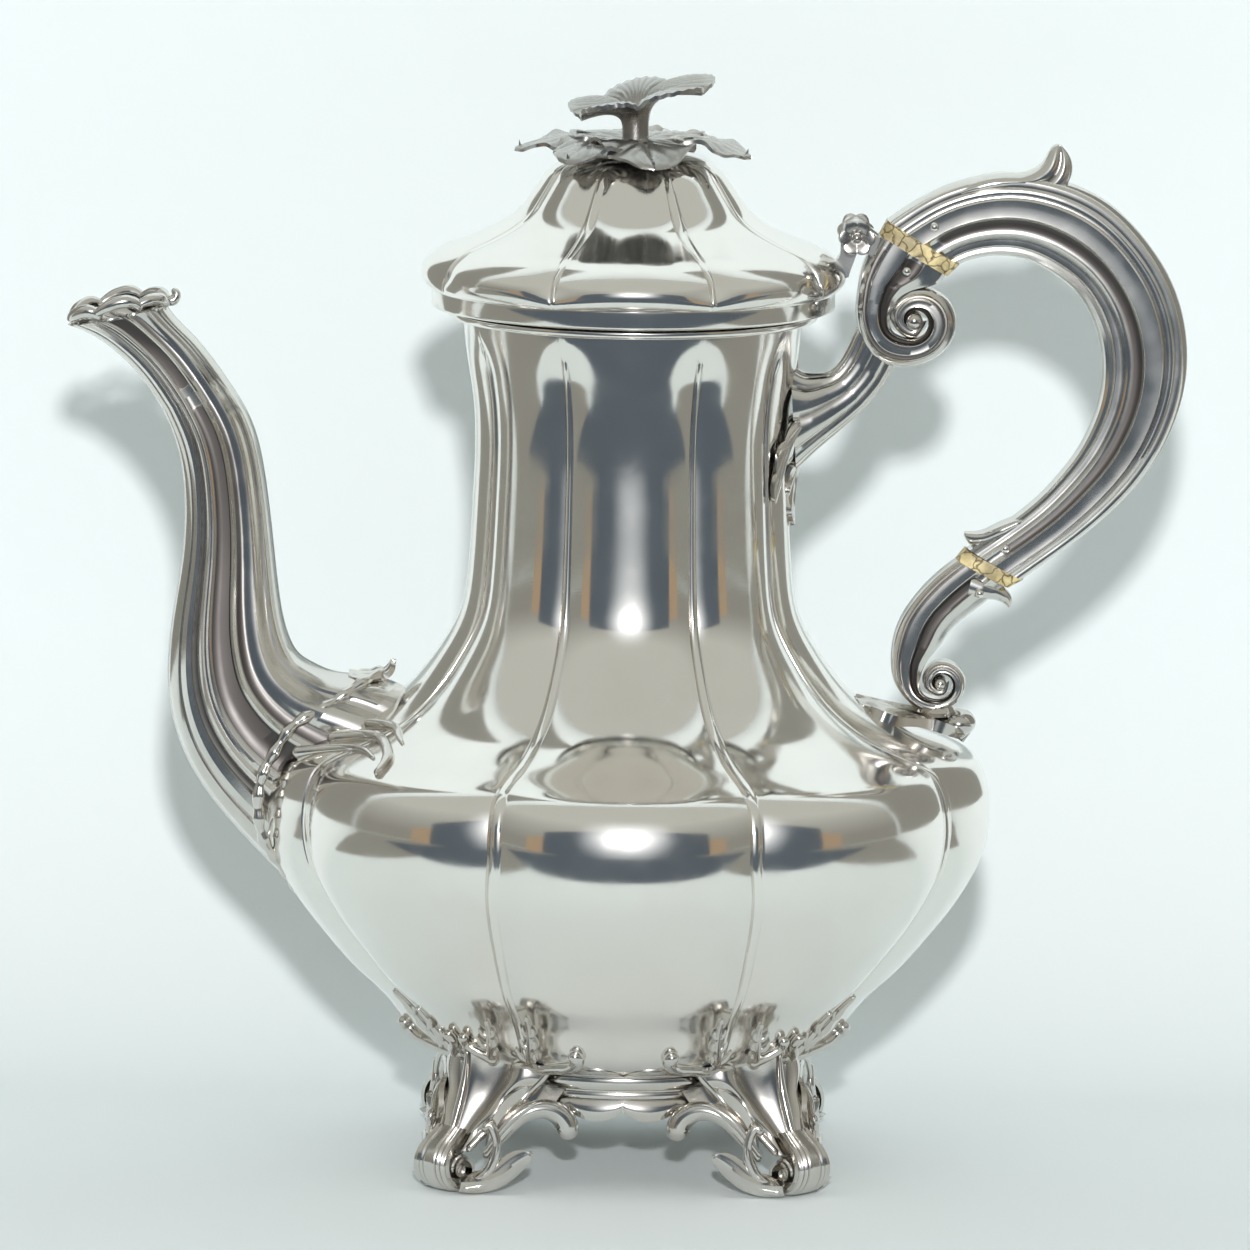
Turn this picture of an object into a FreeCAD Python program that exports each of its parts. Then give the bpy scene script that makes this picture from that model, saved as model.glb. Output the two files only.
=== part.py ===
"""Silver coffee pot: eight-panelled body, scroll feet, reeded spout, hinged lid and insulated handle.

Frame: millimetres, +Z up, origin on the table under the middle of the body.
The spout points along -X, the handle along +X and the front panel faces -Y.
"""
import FreeCAD, Part
import math
import os
import Sketcher

V = FreeCAD.Vector
doc = FreeCAD.newDocument("coffee_pot")


# ---------------------------------------------------------------- driving sizes

SIZES = {
    # body
    "belly_radius": 80.7,
    "belly_height": 79.0,
    "waist_radius": 34.9,
    "waist_height": 150.0,
    "rim_radius": 37.5,
    "rim_height": 189.0,
    "base_radius": 38.0,
    "base_height": 26.0,
    "body_wall": 0.8,
    "panel_depth": 0.063,
    "rib_width": 4.2,
    "rib_rise": 0.9,
    # collar and foot ring
    "collar_radius": 41.0,
    "collar_rise": 5.5,
    "ring_wall": 4.0,
    "ring_drop": 6.5,
    # feet
    "toe_reach": 57.0,
    "toe_radius": 5.0,
    "foot_width": 12.0,
    "arm_radius": 1.9,
    # spout
    "spout_wall": 1.1,
    "strainer_hole": 1.2,
    "strainer_pitch": 4.6,
    # handle
    "handle_reach": 43.4,
    "handle_wall": 1.2,
    "upper_width": 18.6,
    "lower_width": 14.0,
    "upper_thick": 11.0,
    "lower_thick": 9.0,
    "socket_thick": 10.4,
    "insulator_gap": 2.7,
    "tenon_length": 8.0,
    "tenon_thick": 5.0,
    "tenon_width": 9.0,
    "cross_pin": 0.8,
    # lid
    "lid_radius": 46.9,
    "lid_rise": 30.0,
    "lid_wall": 0.8,
    "lid_gap": 0.3,
    "bezel_drop": 3.0,
    "bezel_wall": 0.9,
    "bezel_gap": 0.9,
    "crown_flat": 6.0,
    # hinge
    "hinge_out": 11.5,
    "hinge_up": 19.4,
    "hinge_pin": 1.0,
    "pin_clearance": 0.05,
    "knuckle_radius": 3.2,
    "lid_knuckle": 5.0,
    "fixed_knuckle": 3.2,
    "knuckle_gap": 0.3,
    "flower_head": 4.0,
    "flower_thick": 2.2,
    # finial
    "stud_radius": 1.25,
    "calyx_reach": 25.5,
    "calyx_thick": 1.2,
    "petal_reach": 17.0,
    "flower_height": 17.7,
    "washer_radius": 4.5,
    "washer_thick": 0.8,
    "nut_flats": 5.5,
    "nut_thick": 2.2,
}

PANELS = 8
FEET = {
    "foot_front_left": 225.0,
    "foot_front_right": 315.0,
    "foot_back_right": 45.0,
    "foot_back_left": 135.0,
}

sheet = doc.addObject("Spreadsheet::Sheet", "sizes")
for row, (alias, amount) in enumerate(SIZES.items(), start=1):
    sheet.set("A%d" % row, alias)
    sheet.set("B%d" % row, str(amount))
    sheet.setAlias("B%d" % row, alias)
doc.recompute()


class Size:
    """A length that keeps both its value and the sheet formula it comes from."""

    def __init__(self, value, text):
        self.value = value
        self.text = text

    def __float__(self):
        return float(self.value)

    def __add__(self, other):
        return combine(self, "+", other)

    def __radd__(self, other):
        return combine(other, "+", self)

    def __sub__(self, other):
        return combine(self, "-", other)

    def __rsub__(self, other):
        return combine(other, "-", self)

    def __mul__(self, other):
        return combine(self, "*", other)

    def __rmul__(self, other):
        return combine(other, "*", self)

    def __truediv__(self, other):
        return combine(self, "/", other)

    def __neg__(self):
        return combine(0.0, "-", self)


def as_size(amount):
    if isinstance(amount, Size):
        return amount
    return Size(float(amount), "%.6g" % amount)


def combine(left, sign, right):
    a = as_size(left)
    b = as_size(right)
    results = {
        "+": a.value + b.value,
        "-": a.value - b.value,
        "*": a.value * b.value,
        "/": a.value / b.value if b.value else 0.0,
    }
    return Size(results[sign], "(%s %s %s)" % (a.text, sign, b.text))


def size(alias):
    return Size(float(sheet.get(alias)), "sizes." + alias)


def number(alias):
    return float(sheet.get(alias))


# ---------------------------------------------------------------- PartDesign helpers

def new_body(label):
    body = doc.addObject("PartDesign::Body", label)
    body.Label = label
    return body


def plane_of(body, role):
    for feature in body.Origin.OriginFeatures:
        if feature.Role == role:
            return feature
    raise ValueError("no plane " + role)


def new_sketch(body, role, name, offset=None):
    sketch = body.newObject("Sketcher::SketchObject", name)
    sketch.AttachmentSupport = [(plane_of(body, role), "")]
    sketch.MapMode = "FlatFace"
    if offset is not None:
        sketch.AttachmentOffset = FreeCAD.Placement(V(0, 0, float(offset)), FreeCAD.Rotation())
        sketch.setExpression("AttachmentOffset.Base.z", offset.text)
    return sketch


def bind_constraint(sketch, index, amount, name):
    sketch.renameConstraint(index, name)
    sketch.setExpression("Constraints." + name, as_size(amount).text)


def add_circle(sketch, centre_x, centre_y, radius, name):
    cx = as_size(centre_x)
    cy = as_size(centre_y)
    circle = sketch.addGeometry(Part.Circle(V(cx.value, cy.value, 0), V(0, 0, 1), float(radius)), False)
    index = sketch.addConstraint(Sketcher.Constraint("Radius", circle, float(radius)))
    bind_constraint(sketch, index, radius, name + "_radius")
    pin_point(sketch, circle, 3, cx, cy, name)
    return circle


def pin_point(sketch, geometry, corner, x, y, name):
    """Hold one point of the sketch at x, y from the sketch's origin."""
    for axis, amount in (("X", as_size(x)), ("Y", as_size(y))):
        rule = Sketcher.Constraint("Distance" + axis, -1, 1, geometry, corner, amount.value)
        index = sketch.addConstraint(rule)
        if "sizes" in amount.text:
            bind_constraint(sketch, index, amount, "%s_%s" % (name, axis.lower()))


def add_polygon(sketch, corners, name):
    """Closed outline of straight lines whose corners follow the sheet."""
    count = len(corners)
    points = [V(float(as_size(x)), float(as_size(y)), 0) for x, y in corners]
    lines = []
    for i in range(count):
        lines.append(sketch.addGeometry(Part.LineSegment(points[i], points[(i + 1) % count]), False))
    for i in range(count):
        sketch.addConstraint(Sketcher.Constraint("Coincident", lines[i], 2, lines[(i + 1) % count], 1))
    for i, (x, y) in enumerate(corners):
        pin_point(sketch, lines[i], 1, x, y, "%s_%d" % (name, i))


def pad(body, sketch, length, name, symmetric=False, backwards=False):
    feature = body.newObject("PartDesign::Pad", name)
    feature.Profile = sketch
    feature.Length = float(length)
    feature.setExpression("Length", as_size(length).text)
    feature.Midplane = symmetric
    feature.Reversed = backwards
    sketch.Visibility = False
    return feature


def pocket_through(body, sketch, name):
    feature = body.newObject("PartDesign::Pocket", name)
    feature.Profile = sketch
    feature.Type = 1
    feature.Midplane = True
    return feature


def revolve(body, corners, name):
    """Turn an outline of (radius, height) corners round the body's Z axis."""
    sketch = new_sketch(body, "XZ_Plane", name + "_outline")
    add_polygon(sketch, corners, "c")
    feature = body.newObject("PartDesign::Revolution", name)
    feature.Profile = sketch
    feature.ReferenceAxis = (sketch, ["V_Axis"])
    feature.Angle = 360.0
    return feature


def polar_pattern(body, sketch, features, count, name):
    pattern = body.newObject("PartDesign::PolarPattern", name)
    pattern.Originals = features
    pattern.Axis = (sketch, ["N_Axis"])
    pattern.Angle = 360.0
    pattern.Occurrences = count
    body.Tip = pattern
    return pattern


def cylinder(label, radius, length, base, direction):
    piece = doc.addObject("Part::Cylinder", label)
    piece.Label = label
    piece.setExpression("Radius", as_size(radius).text)
    piece.setExpression("Height", as_size(length).text)
    piece.Placement = FreeCAD.Placement(base, FreeCAD.Rotation(V(0, 0, 1), direction))
    return piece


def free_form(label, shape):
    """A piece whose form is lofted or trimmed to the panelled body."""
    piece = doc.addObject("Part::Feature", label)
    piece.Label = label
    piece.Shape = shape
    return piece


# ---------------------------------------------------------------- outlines and lofts

def polar(radius, degrees, height):
    angle = math.radians(degrees)
    return V(radius * math.cos(angle), radius * math.sin(angle), height)


def panelled_ring(radius, height, depth, half_panel):
    """One level of the body: eight bulging panels with a narrow raised rib between each two."""
    rib_half = math.degrees(number("rib_width") / 2 / radius)
    valley = radius * (1 - number("panel_depth") * depth)
    crest = valley + number("rib_rise") * depth
    edges = []
    for k in range(PANELS):
        middle = -90.0 + 360.0 / PANELS * k
        half = half_panel if k % 2 == 0 else 360.0 / PANELS - half_panel
        left = polar(valley, middle - half + rib_half, height)
        right = polar(valley, middle + half - rib_half, height)
        after = polar(valley, middle + half + rib_half, height)
        edges.append(Part.Arc(left, polar(radius, middle, height), right).toShape())
        edges.append(Part.Arc(right, polar(crest, middle + half, height), after).toShape())
    return Part.Wire(edges)


def inset(levels, wall):
    """The same levels moved in by the wall, square to the outline."""
    moved = []
    for i, level in enumerate(levels):
        before = levels[max(i - 1, 0)]
        after = levels[min(i + 1, len(levels) - 1)]
        run = after[0] - before[0]
        rise = after[1] - before[1]
        length = math.hypot(run, rise)
        moved.append((level[0] - wall * rise / length, level[1] + wall * run / length) + tuple(level[2:]))
    return moved


def loft(wires):
    shape = Part.makeLoft(wires, True, False)
    if shape.ShapeType != "Solid":
        shape = shape.Solids[0]
    return shape


def flat_ring(centre, along, half_long, half_y, bulge):
    """Four bowed sides in a plane that holds the Y axis: the section of a handle or spout."""
    side = V(0, 1, 0)
    corner_long = half_long * bulge
    corner_y = half_y * bulge
    a = centre - along * corner_long - side * corner_y
    b = centre + along * corner_long - side * corner_y
    c = centre + along * corner_long + side * corner_y
    d = centre - along * corner_long + side * corner_y
    edges = [
        Part.Arc(a, centre - side * half_y, b).toShape(),
        Part.Arc(b, centre + along * half_long, c).toShape(),
        Part.Arc(c, centre + side * half_y, d).toShape(),
        Part.Arc(d, centre - along * half_long, a).toShape(),
    ]
    return Part.Wire(edges)


def slab(outline, half_thick):
    """A flat casting: a closed outline of (x, z) runs, each run smooth, of even thickness across Y."""
    edges = []
    for i, run in enumerate(outline):
        start_next = outline[(i + 1) % len(outline)][0]
        points = [V(x, -half_thick, z) for x, z in run + [start_next]]
        if len(points) == 2:
            edges.append(Part.LineSegment(points[0], points[1]).toShape())
        else:
            curve = Part.BSplineCurve()
            curve.interpolate(points)
            edges.append(curve.toShape())
    face = Part.Face(Part.Wire(edges))
    return face.extrude(V(0, 2 * half_thick, 0))


def shifted(outline, base_x, base_z):
    return [[(base_x + x, base_z + z) for x, z in run] for run in outline]


# ---------------------------------------------------------------- body shell

# shares of the way from base to belly and from belly to waist: (outward, upward)
LOWER_BODY = [(0.0, 0.0), (0.165, 0.05), (0.384, 0.237), (0.518, 0.34), (0.696, 0.50), (0.82, 0.632),
              (0.913, 0.75), (0.975, 0.87), (1.0, 1.0)]
UPPER_BODY = [(0.006, 0.075), (0.035, 0.135), (0.09, 0.185), (0.19, 0.228), (0.365, 0.27), (0.56, 0.33),
              (0.715, 0.41), (0.865, 0.535), (0.94, 0.635), (0.982, 0.77), (1.0, 1.0)]
PANEL_NECK = 24.5
PANEL_BELLY = 21.5
PANEL_BASE = 22.5


def body_levels():
    """(radius, height, panel depth share, half panel angle) from the base to the rim."""
    belly = number("belly_radius")
    belly_z = number("belly_height")
    base = number("base_radius")
    base_z = number("base_height")
    waist = number("waist_radius")
    waist_z = number("waist_height")
    rim = number("rim_radius")
    rim_z = number("rim_height")
    levels = []
    for out, up in LOWER_BODY:
        depth = min(1.0, up * 5)
        angle = PANEL_BASE + (PANEL_BELLY - PANEL_BASE) * up
        levels.append((base + (belly - base) * out, base_z + (belly_z - base_z) * up, depth, angle))
    for inward, up in UPPER_BODY:
        angle = PANEL_BELLY + (PANEL_NECK - PANEL_BELLY) * up
        levels.append((belly + (waist - belly) * inward, belly_z + (waist_z - belly_z) * up, 1.0, angle))
    for share, depth in ((0.35, 1.0), (0.6, 1.0), (0.78, 0.6), (0.88, 0.12), (1.0, 0.0)):
        radius = waist + (rim - waist) * share ** 1.8
        levels.append((radius, waist_z + (rim_z - waist_z) * share, depth, PANEL_NECK))
    return levels


def body_height_at(radius):
    """Height of the shoulder where a panel's crest has the given radius."""
    levels = [level for level in body_levels() if level[1] >= number("belly_height")]
    for inner, outer in zip(levels[1:], levels):
        if inner[0] <= radius <= outer[0]:
            share = (outer[0] - radius) / (outer[0] - inner[0])
            return outer[1] + (inner[1] - outer[1]) * share
    raise ValueError("no shoulder at radius %.1f" % radius)


def strainer_holes():
    """Three rings of holes through the wall behind the spout."""
    pitch = number("strainer_pitch")
    start = V(-number("belly_radius") - 5, 0, number("belly_height"))
    holes = []
    for ring in range(3):
        for k in range(max(1, 6 * ring)):
            turn = math.radians(60.0 / max(1, ring) * k)
            place = start + V(0, ring * pitch * math.cos(turn), ring * pitch * math.sin(turn))
            holes.append(Part.makeCylinder(number("strainer_hole"), 14, place, V(1, 0, 0)))
    return Part.makeCompound(holes)


levels = body_levels()
body_outer = loft([panelled_ring(*level) for level in levels])
inner_levels = inset(levels, number("body_wall"))
inner_levels[0] = (inner_levels[0][0], number("base_height") + number("body_wall")) + levels[0][2:]
inner_levels[-1] = (number("rim_radius") - number("body_wall"), number("rim_height")) + levels[-1][2:]
mouth_level = (inner_levels[-1][0], number("rim_height") + 2.0) + levels[-1][2:]
body_inner = loft([panelled_ring(*level) for level in inner_levels + [mouth_level]])
body_shell = free_form("body_shell", body_outer.cut(body_inner).cut(strainer_holes()))


# ---------------------------------------------------------------- collar and foot ring

def make_neck_collar():
    body = new_body("neck_collar")
    low = size("rim_height")
    bore = size("rim_radius") - size("body_wall")
    wide = size("collar_radius")
    rise = size("collar_rise")
    corners = [
        (bore, low), (wide - 3.2, low), (wide - 2.2, low + rise * 0.12), (wide - 2.2, low + rise * 0.34),
        (wide - 1.2, low + rise * 0.46), (wide - 0.4, low + rise * 0.62), (wide, low + rise * 0.8),
        (wide - 0.5, low + rise), (bore, low + rise),
    ]
    revolve(body, corners, "collar_band")
    return body


def make_foot_ring():
    body = new_body("foot_ring")
    top = size("base_height")
    wide = size("base_radius")
    drop = size("ring_drop")
    bore = wide - size("ring_wall") - 1.5
    corners = [
        (bore, top - drop), (wide - 1.5, top - drop), (wide - 0.8, top - drop * 0.84),
        (wide - 1.5, top - drop * 0.66), (wide - 2.8, top - drop * 0.56), (wide - 2.8, top - drop * 0.38),
        (wide - 1.0, top - drop * 0.26), (wide, top - drop * 0.1), (wide, top), (bore, top),
    ]
    revolve(body, corners, "ring_band")
    return body


make_neck_collar()
foot_ring = make_foot_ring()


# ---------------------------------------------------------------- feet

def scroll_arm(side):
    """A curling arm under the foot ring, to one side of the leg, ending in a hanging ball."""
    radius = number("base_radius") - 1.5
    top = number("base_height") - number("ring_drop") - number("arm_radius") - 0.2
    spots = [(8.0, 1.0, 2.0), (14.0, 0.2, 0.6), (20.0, 0.0, 0.6), (25.0, 1.5, 0.6), (27.0, 5.0, 0.4)]
    path_points = []
    for degrees, drop, outward in spots:
        path_points.append(polar(radius + outward, side * degrees, top - drop))
    curve = Part.BSplineCurve()
    curve.interpolate(path_points)
    path = Part.Wire([curve.toShape()])
    start = Part.Circle(path_points[0], curve.tangent(0)[0], number("arm_radius"))
    tube = path.makePipeShell([Part.Wire([start.toShape()])], True, True)
    ball = Part.makeSphere(number("arm_radius") * 1.5, path_points[-1])
    return tube.fuse(ball)


def make_foot_shape():
    """One foot, standing along +X: leg with a leaf knee, rolled toe and two scroll arms."""
    reach = number("toe_reach")
    toe = number("toe_radius")
    base = number("base_radius")
    top = number("base_height")
    half = number("foot_width") / 2
    # the leg seen from the side: from the ring over the knee leaf, down to the toe and back
    outline = [
        [(base - 4.5, top - 8.5)], [(base - 4.5, top - 0.5)], [(base + 1.0, top + 2.0)],
        [(base + 15.5, top + 14.0), (base + 14.5, top + 6.0), (base + 9.5, top - 3.5), (base + 8.5, top - 11.0)],
        [(reach + 1.0, toe * 1.75), (reach + toe * 0.9, toe * 1.3)],
        [(reach + toe * 0.6, 1.0)], [(reach - toe * 0.9, 1.0), (reach - toe * 2.2, toe * 1.1)],
        [(base + 2.0, top - 13.0), (base - 0.5, top - 10.0)],
    ]
    leg = slab(outline, half)
    roll = Part.makeCylinder(toe, 2 * half + 3, V(reach, -half - 1.5, toe - 0.4), V(0, 1, 0))
    shape = leg.fuse(roll)
    for side in (-1, 1):
        shape = shape.fuse(scroll_arm(side))
    ground = Part.makeBox(200, 200, 20, V(-100, -100, -20))
    shape = shape.cut(ground)
    return shape


foot_blank = make_foot_shape()
doc.recompute()
turned_blank = foot_blank.copy()
turned_blank.rotate(V(0, 0, 0), V(0, 0, 1), 45.0)
foot_trimmed = turned_blank.cut(body_outer).cut(foot_ring.Shape)
foot_trimmed = max(foot_trimmed.Solids, key=lambda solid: solid.Volume)
for foot_name, azimuth in FEET.items():
    foot_shape = foot_trimmed.copy()
    foot = free_form(foot_name, foot_shape)
    foot.Placement = FreeCAD.Placement(V(0, 0, 0), FreeCAD.Rotation(V(0, 0, 1), azimuth - 45.0))


# ---------------------------------------------------------------- spout

# from the root to the lip, measured from the belly's outermost point on the -X side:
# (outward and up of the lower edge, outward and up of the upper edge, half width across Y)
SPOUT_ROOT = [(-14.7, -25.0, -42.7, 17.0, 14.0), (-2.7, -14.0, -30.7, 27.5, 15.0)]
SPOUT_TUBE = [
    (7.7, -3.1, -20.7, 30.0, 15.0), (14.4, 5.7, -14.7, 30.8, 14.5), (18.9, 14.6, -10.1, 32.8, 13.5),
    (21.2, 24.0, -6.9, 35.3, 12.5), (21.5, 33.0, -4.5, 40.8, 11.5), (20.6, 42.5, -3.0, 48.5, 10.5),
    (18.7, 55.0, -1.7, 59.5, 9.3), (18.1, 69.0, 0.1, 73.5, 8.6), (19.9, 81.0, 3.8, 87.5, 8.2),
    (23.2, 89.1, 10.1, 97.5, 7.7),
]
SPOUT_TIP = [(28.6, 96.6, 15.9, 104.8, 7.4), (36.4, 103.4, 20.8, 109.3, 7.8), (44.6, 107.9, 22.4, 112.0, 8.2)]
SPOUT_BULGE = 0.72


def spout_wires(stations, thinner):
    wires = []
    for low_out, low_up, high_out, high_up, half_y in stations:
        low = V(-number("belly_radius") - low_out, 0, number("belly_height") + low_up)
        high = V(-number("belly_radius") - high_out, 0, number("belly_height") + high_up)
        along = (high - low).normalize()
        half_long = (high - low).Length / 2 - thinner
        wires.append(flat_ring((low + high) * 0.5, along, half_long, half_y - thinner, SPOUT_BULGE))
    return wires


def hollow_spout(stations, beyond):
    """A tube through the stations; beyond is a last level that only the hollow reaches, to open the mouth."""
    outside = loft(spout_wires(stations, 0.0))
    inside = loft(spout_wires(stations + beyond, number("spout_wall")))
    return outside.cut(inside)


joint_level = SPOUT_TUBE[-1]
spout_outside = loft(spout_wires(SPOUT_ROOT + SPOUT_TUBE, 0.0))
spout_inside = loft(spout_wires(SPOUT_ROOT + SPOUT_TUBE, number("spout_wall")))
spout_tube = spout_outside.cut(spout_inside).cut(body_outer)
free_form("spout_tube", max(spout_tube.Solids, key=lambda solid: solid.Volume))
tip_stations = [joint_level] + SPOUT_TIP
free_form("spout_tip", loft(spout_wires(tip_stations, 0.0)).cut(
    loft(spout_wires(tip_stations, number("spout_wall")))))


# ---------------------------------------------------------------- handle frames

# directions across the handle at its two ends, from the outer edge to the inner one
UPPER_ACROSS = V(0.857, 0, -0.515)
LOWER_ACROSS = V(0.876, 0, -0.482)

# where the handle's end faces are: from the rim, and from the seat on the shoulder
UPPER_END = V(26.3, 0, 18.0)
LOWER_END = V(14.9, 0, 38.0)
SEAT_INSET = 14.7

seat_radius = number("belly_radius") - SEAT_INSET
seat = V(seat_radius, 0, body_height_at(seat_radius))
rim_corner = V(number("rim_radius"), 0, number("rim_height"))
upper_end = rim_corner + UPPER_END
lower_end = seat + LOWER_END


def square_to(across):
    """The direction up and out of an end face, in the XZ plane."""
    return V(-across.z, 0, across.x)


upper_normal = square_to(UPPER_ACROSS)
lower_normal = square_to(LOWER_ACROSS)


# ---------------------------------------------------------------- handle loop

# share of the way from the upper end to the lower, share of the reach, and width of the section
LOOP = [(-0.028, 0.161, 18.0), (-0.031, 0.36, 18.4), (-0.002, 0.568, 19.2), (0.081, 0.779, 19.8),
        (0.196, 0.92, 19.7), (0.343, 1.0, 19.3), (0.497, 0.988, 18.9), (0.623, 0.911, 18.3),
        (0.746, 0.756, 17.2), (0.85, 0.535, 15.8), (0.93, 0.284, 14.2)]
LOOP_BULGE = 0.8


def loop_stations():
    """(centre, direction across, half width, half thickness) along the loop."""
    chord = lower_end - upper_end
    outward = V(-chord.z, 0, chord.x).normalize()
    centres = [upper_end]
    for share, reach, _ in LOOP:
        centres.append(upper_end + chord * share + outward * (reach * number("handle_reach")))
    centres.append(lower_end)
    widths = [number("upper_width")] + [width for _, _, width in LOOP] + [number("lower_width")]
    stations = []
    last = len(centres) - 1
    for i, centre in enumerate(centres):
        share = i / last
        thick = number("upper_thick") + (number("lower_thick") - number("upper_thick")) * share
        if i == 0:
            across = UPPER_ACROSS
        elif i == last:
            across = LOWER_ACROSS * -1
        else:
            run = (centres[i + 1] - centres[i - 1]).normalize()
            across = V(run.z, 0, -run.x)
        stations.append((centre, across, widths[i] / 2, thick / 2))
    return stations


def loop_wires(stations, wall):
    wires = []
    for centre, across, half_width, half_thick in stations:
        wires.append(flat_ring(centre, across, half_width - wall, half_thick - wall, LOOP_BULGE))
    return wires


def tenon_box(end, across, normal, slack):
    """The tenon's space inside the handle or a socket, starting at an end face."""
    half_wide = number("tenon_width") / 2
    half_thick = number("tenon_thick") / 2
    long = number("tenon_length") + slack
    side = V(0, 1, 0)
    corner = end - across * half_wide - side * half_thick
    points = [corner, corner + across * 2 * half_wide, corner + across * 2 * half_wide + side * 2 * half_thick,
              corner + side * 2 * half_thick]
    return Part.Face(Part.makePolygon(points + [corner])).extrude(normal * long)


def beyond_face(end, across, normal):
    """A block on the far side of an end face, to keep a casting's end flat."""
    reach = 40.0
    corner = end - across * reach - V(0, reach, 0)
    points = [corner, corner + across * 2 * reach, corner + across * 2 * reach + V(0, 2 * reach, 0),
              corner + V(0, 2 * reach, 0)]
    return Part.Face(Part.makePolygon(points + [corner])).extrude(normal * -6.0)


def cross_pin_spot(end, normal):
    return end + normal * (number("tenon_length") * 0.55)


def cross_bore(spot):
    """The hole for a cross pin, right through in Y."""
    return Part.makeCylinder(number("cross_pin"), 40, spot - V(0, 20, 0), V(0, 1, 0))


stations = loop_stations()
loop_outside = loft(loop_wires(stations, 0.0))
loop_hollow = loft(loop_wires(stations[2:-2], number("handle_wall")))
loop_shape = loop_outside.cut(loop_hollow)
for end, across, normal in ((upper_end, UPPER_ACROSS, upper_normal), (lower_end, LOWER_ACROSS, lower_normal)):
    loop_shape = loop_shape.cut(tenon_box(end, across, normal, 0.2))
    loop_shape = loop_shape.cut(cross_bore(cross_pin_spot(end, normal)))
    loop_shape = loop_shape.cut(beyond_face(end, across, normal))
free_form("handle_loop", loop_shape)


# ---------------------------------------------------------------- thumb leaf

# outline from the loop's third level: up the back of the leaf, round its tip and down its front
THUMB_LEAF = [[(-6.0, 3.0)], [(-6.0, 9.3), (-1.5, 9.7), (1.6, 10.8), (2.8, 13.5)],
              [(3.6, 15.8), (7.2, 15.0), (8.9, 12.2), (9.6, 9.0)], [(15.0, 6.5)]]
THUMB_HALF = 2.6


def make_thumb_leaf():
    centre = stations[3][0]
    leaf = slab(shifted(THUMB_LEAF, centre.x, centre.z), THUMB_HALF).cut(loop_outside)
    return max(leaf.Solids, key=lambda solid: solid.Volume)


free_form("thumb_leaf", make_thumb_leaf())


# ---------------------------------------------------------------- insulators and cross pins

def make_insulator(label, end, across, width, thick, bolt_ends):
    """A collar across the handle with a tenon into the handle and one into the socket."""
    body = new_body(label)
    gap = size("insulator_gap")
    long = size("tenon_length")
    collar = new_sketch(body, "XY_Plane", "collar")
    half_x = width / 2
    half_y = thick / 2
    cut = 1.6
    add_polygon(collar, [(-half_x, -half_y + cut), (-half_x + cut, -half_y), (half_x - cut, -half_y),
                         (half_x, -half_y + cut), (half_x, half_y - cut), (half_x - cut, half_y),
                         (-half_x + cut, half_y), (-half_x, half_y - cut)], "o")
    pad(body, collar, gap, "collar_pad", backwards=True)
    for up, offset in ((True, size("insulator_gap") * 0.0), (False, -gap)):
        tenon = new_sketch(body, "XY_Plane", "tenon_up" if up else "tenon_down", offset)
        half_w = size("tenon_width") / 2
        half_t = size("tenon_thick") / 2
        add_polygon(tenon, [(-half_w, -half_t), (half_w, -half_t), (half_w, half_t), (-half_w, half_t)], "t")
        pad(body, tenon, long, tenon.Name + "_pad", backwards=not up)
    bores = new_sketch(body, "XZ_Plane", "pin_bores")
    add_circle(bores, 0.0, long * 0.55, size("cross_pin"), "upper")
    add_circle(bores, 0.0, -gap - long * 0.55, size("cross_pin"), "lower")
    pocket_through(body, bores, "pin_holes")
    normal = square_to(across)
    turn = FreeCAD.Rotation(across, V(0, 1, 0), normal, "ZXY")
    body.Placement = FreeCAD.Placement(end, turn)
    for name, direction, start in bolt_ends:
        spot = cross_pin_spot(start, direction)
        proud = 0.35
        length = thick + 2 * proud
        half_length = float(length) / 2
        cylinder(name, size("cross_pin"), length, spot - V(0, half_length, 0), V(0, 1, 0))
    return body


upper_socket_end = upper_end - upper_normal * number("insulator_gap")
lower_socket_end = lower_end - lower_normal * number("insulator_gap")
make_insulator("upper_insulator", upper_end, UPPER_ACROSS, size("upper_width"), size("upper_thick"),
               [("upper_handle_pin", upper_normal, upper_end),
                ("upper_socket_pin", upper_normal * -1, upper_socket_end)])
make_insulator("lower_insulator", lower_end, LOWER_ACROSS, size("lower_width"), size("lower_thick"),
               [("lower_handle_pin", lower_normal, lower_end),
                ("lower_socket_pin", lower_normal * -1, lower_socket_end)])


# ---------------------------------------------------------------- sockets and the shoulder mount

def end_corners(end, across, width):
    """The outer and inner corners of a socket's mouth, as (x, z)."""
    outer = end - across * (width / 2)
    inner = end + across * (width / 2)
    return (outer.x, outer.z), (inner.x, inner.z)


# measured from the rim: down the back, the U under the hinge, the neck leaf, the strut and the volute
SOCKET_BACK = [(14.4, 15.7), (12.6, 10.0), (11.8, 4.0), (11.9, -1.0), (10.7, -4.4), (8.7, -7.8),
               (7.0, -10.0), (4.8, -11.2), (1.9, -11.0)]
SOCKET_LEAF = [(0.6, -5.6)]
SOCKET_WALL = [(-5.0, -5.6), (-5.0, -44.9)]
SOCKET_STRUT = [(-1.9, -44.9), (-1.4, -35.7), (-0.4, -32.4), (2.2, -29.7), (6.1, -26.7), (10.5, -22.7),
                (14.8, -18.1), (18.0, -14.3), (20.6, -10.2)]
SOCKET_VOLUTE = [(20.6, -10.2), (25.5, -9.6), (30.5, -7.2), (33.6, -2.0), (33.5, 2.6), (31.5, 6.0), (29.0, 7.7)]


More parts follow.
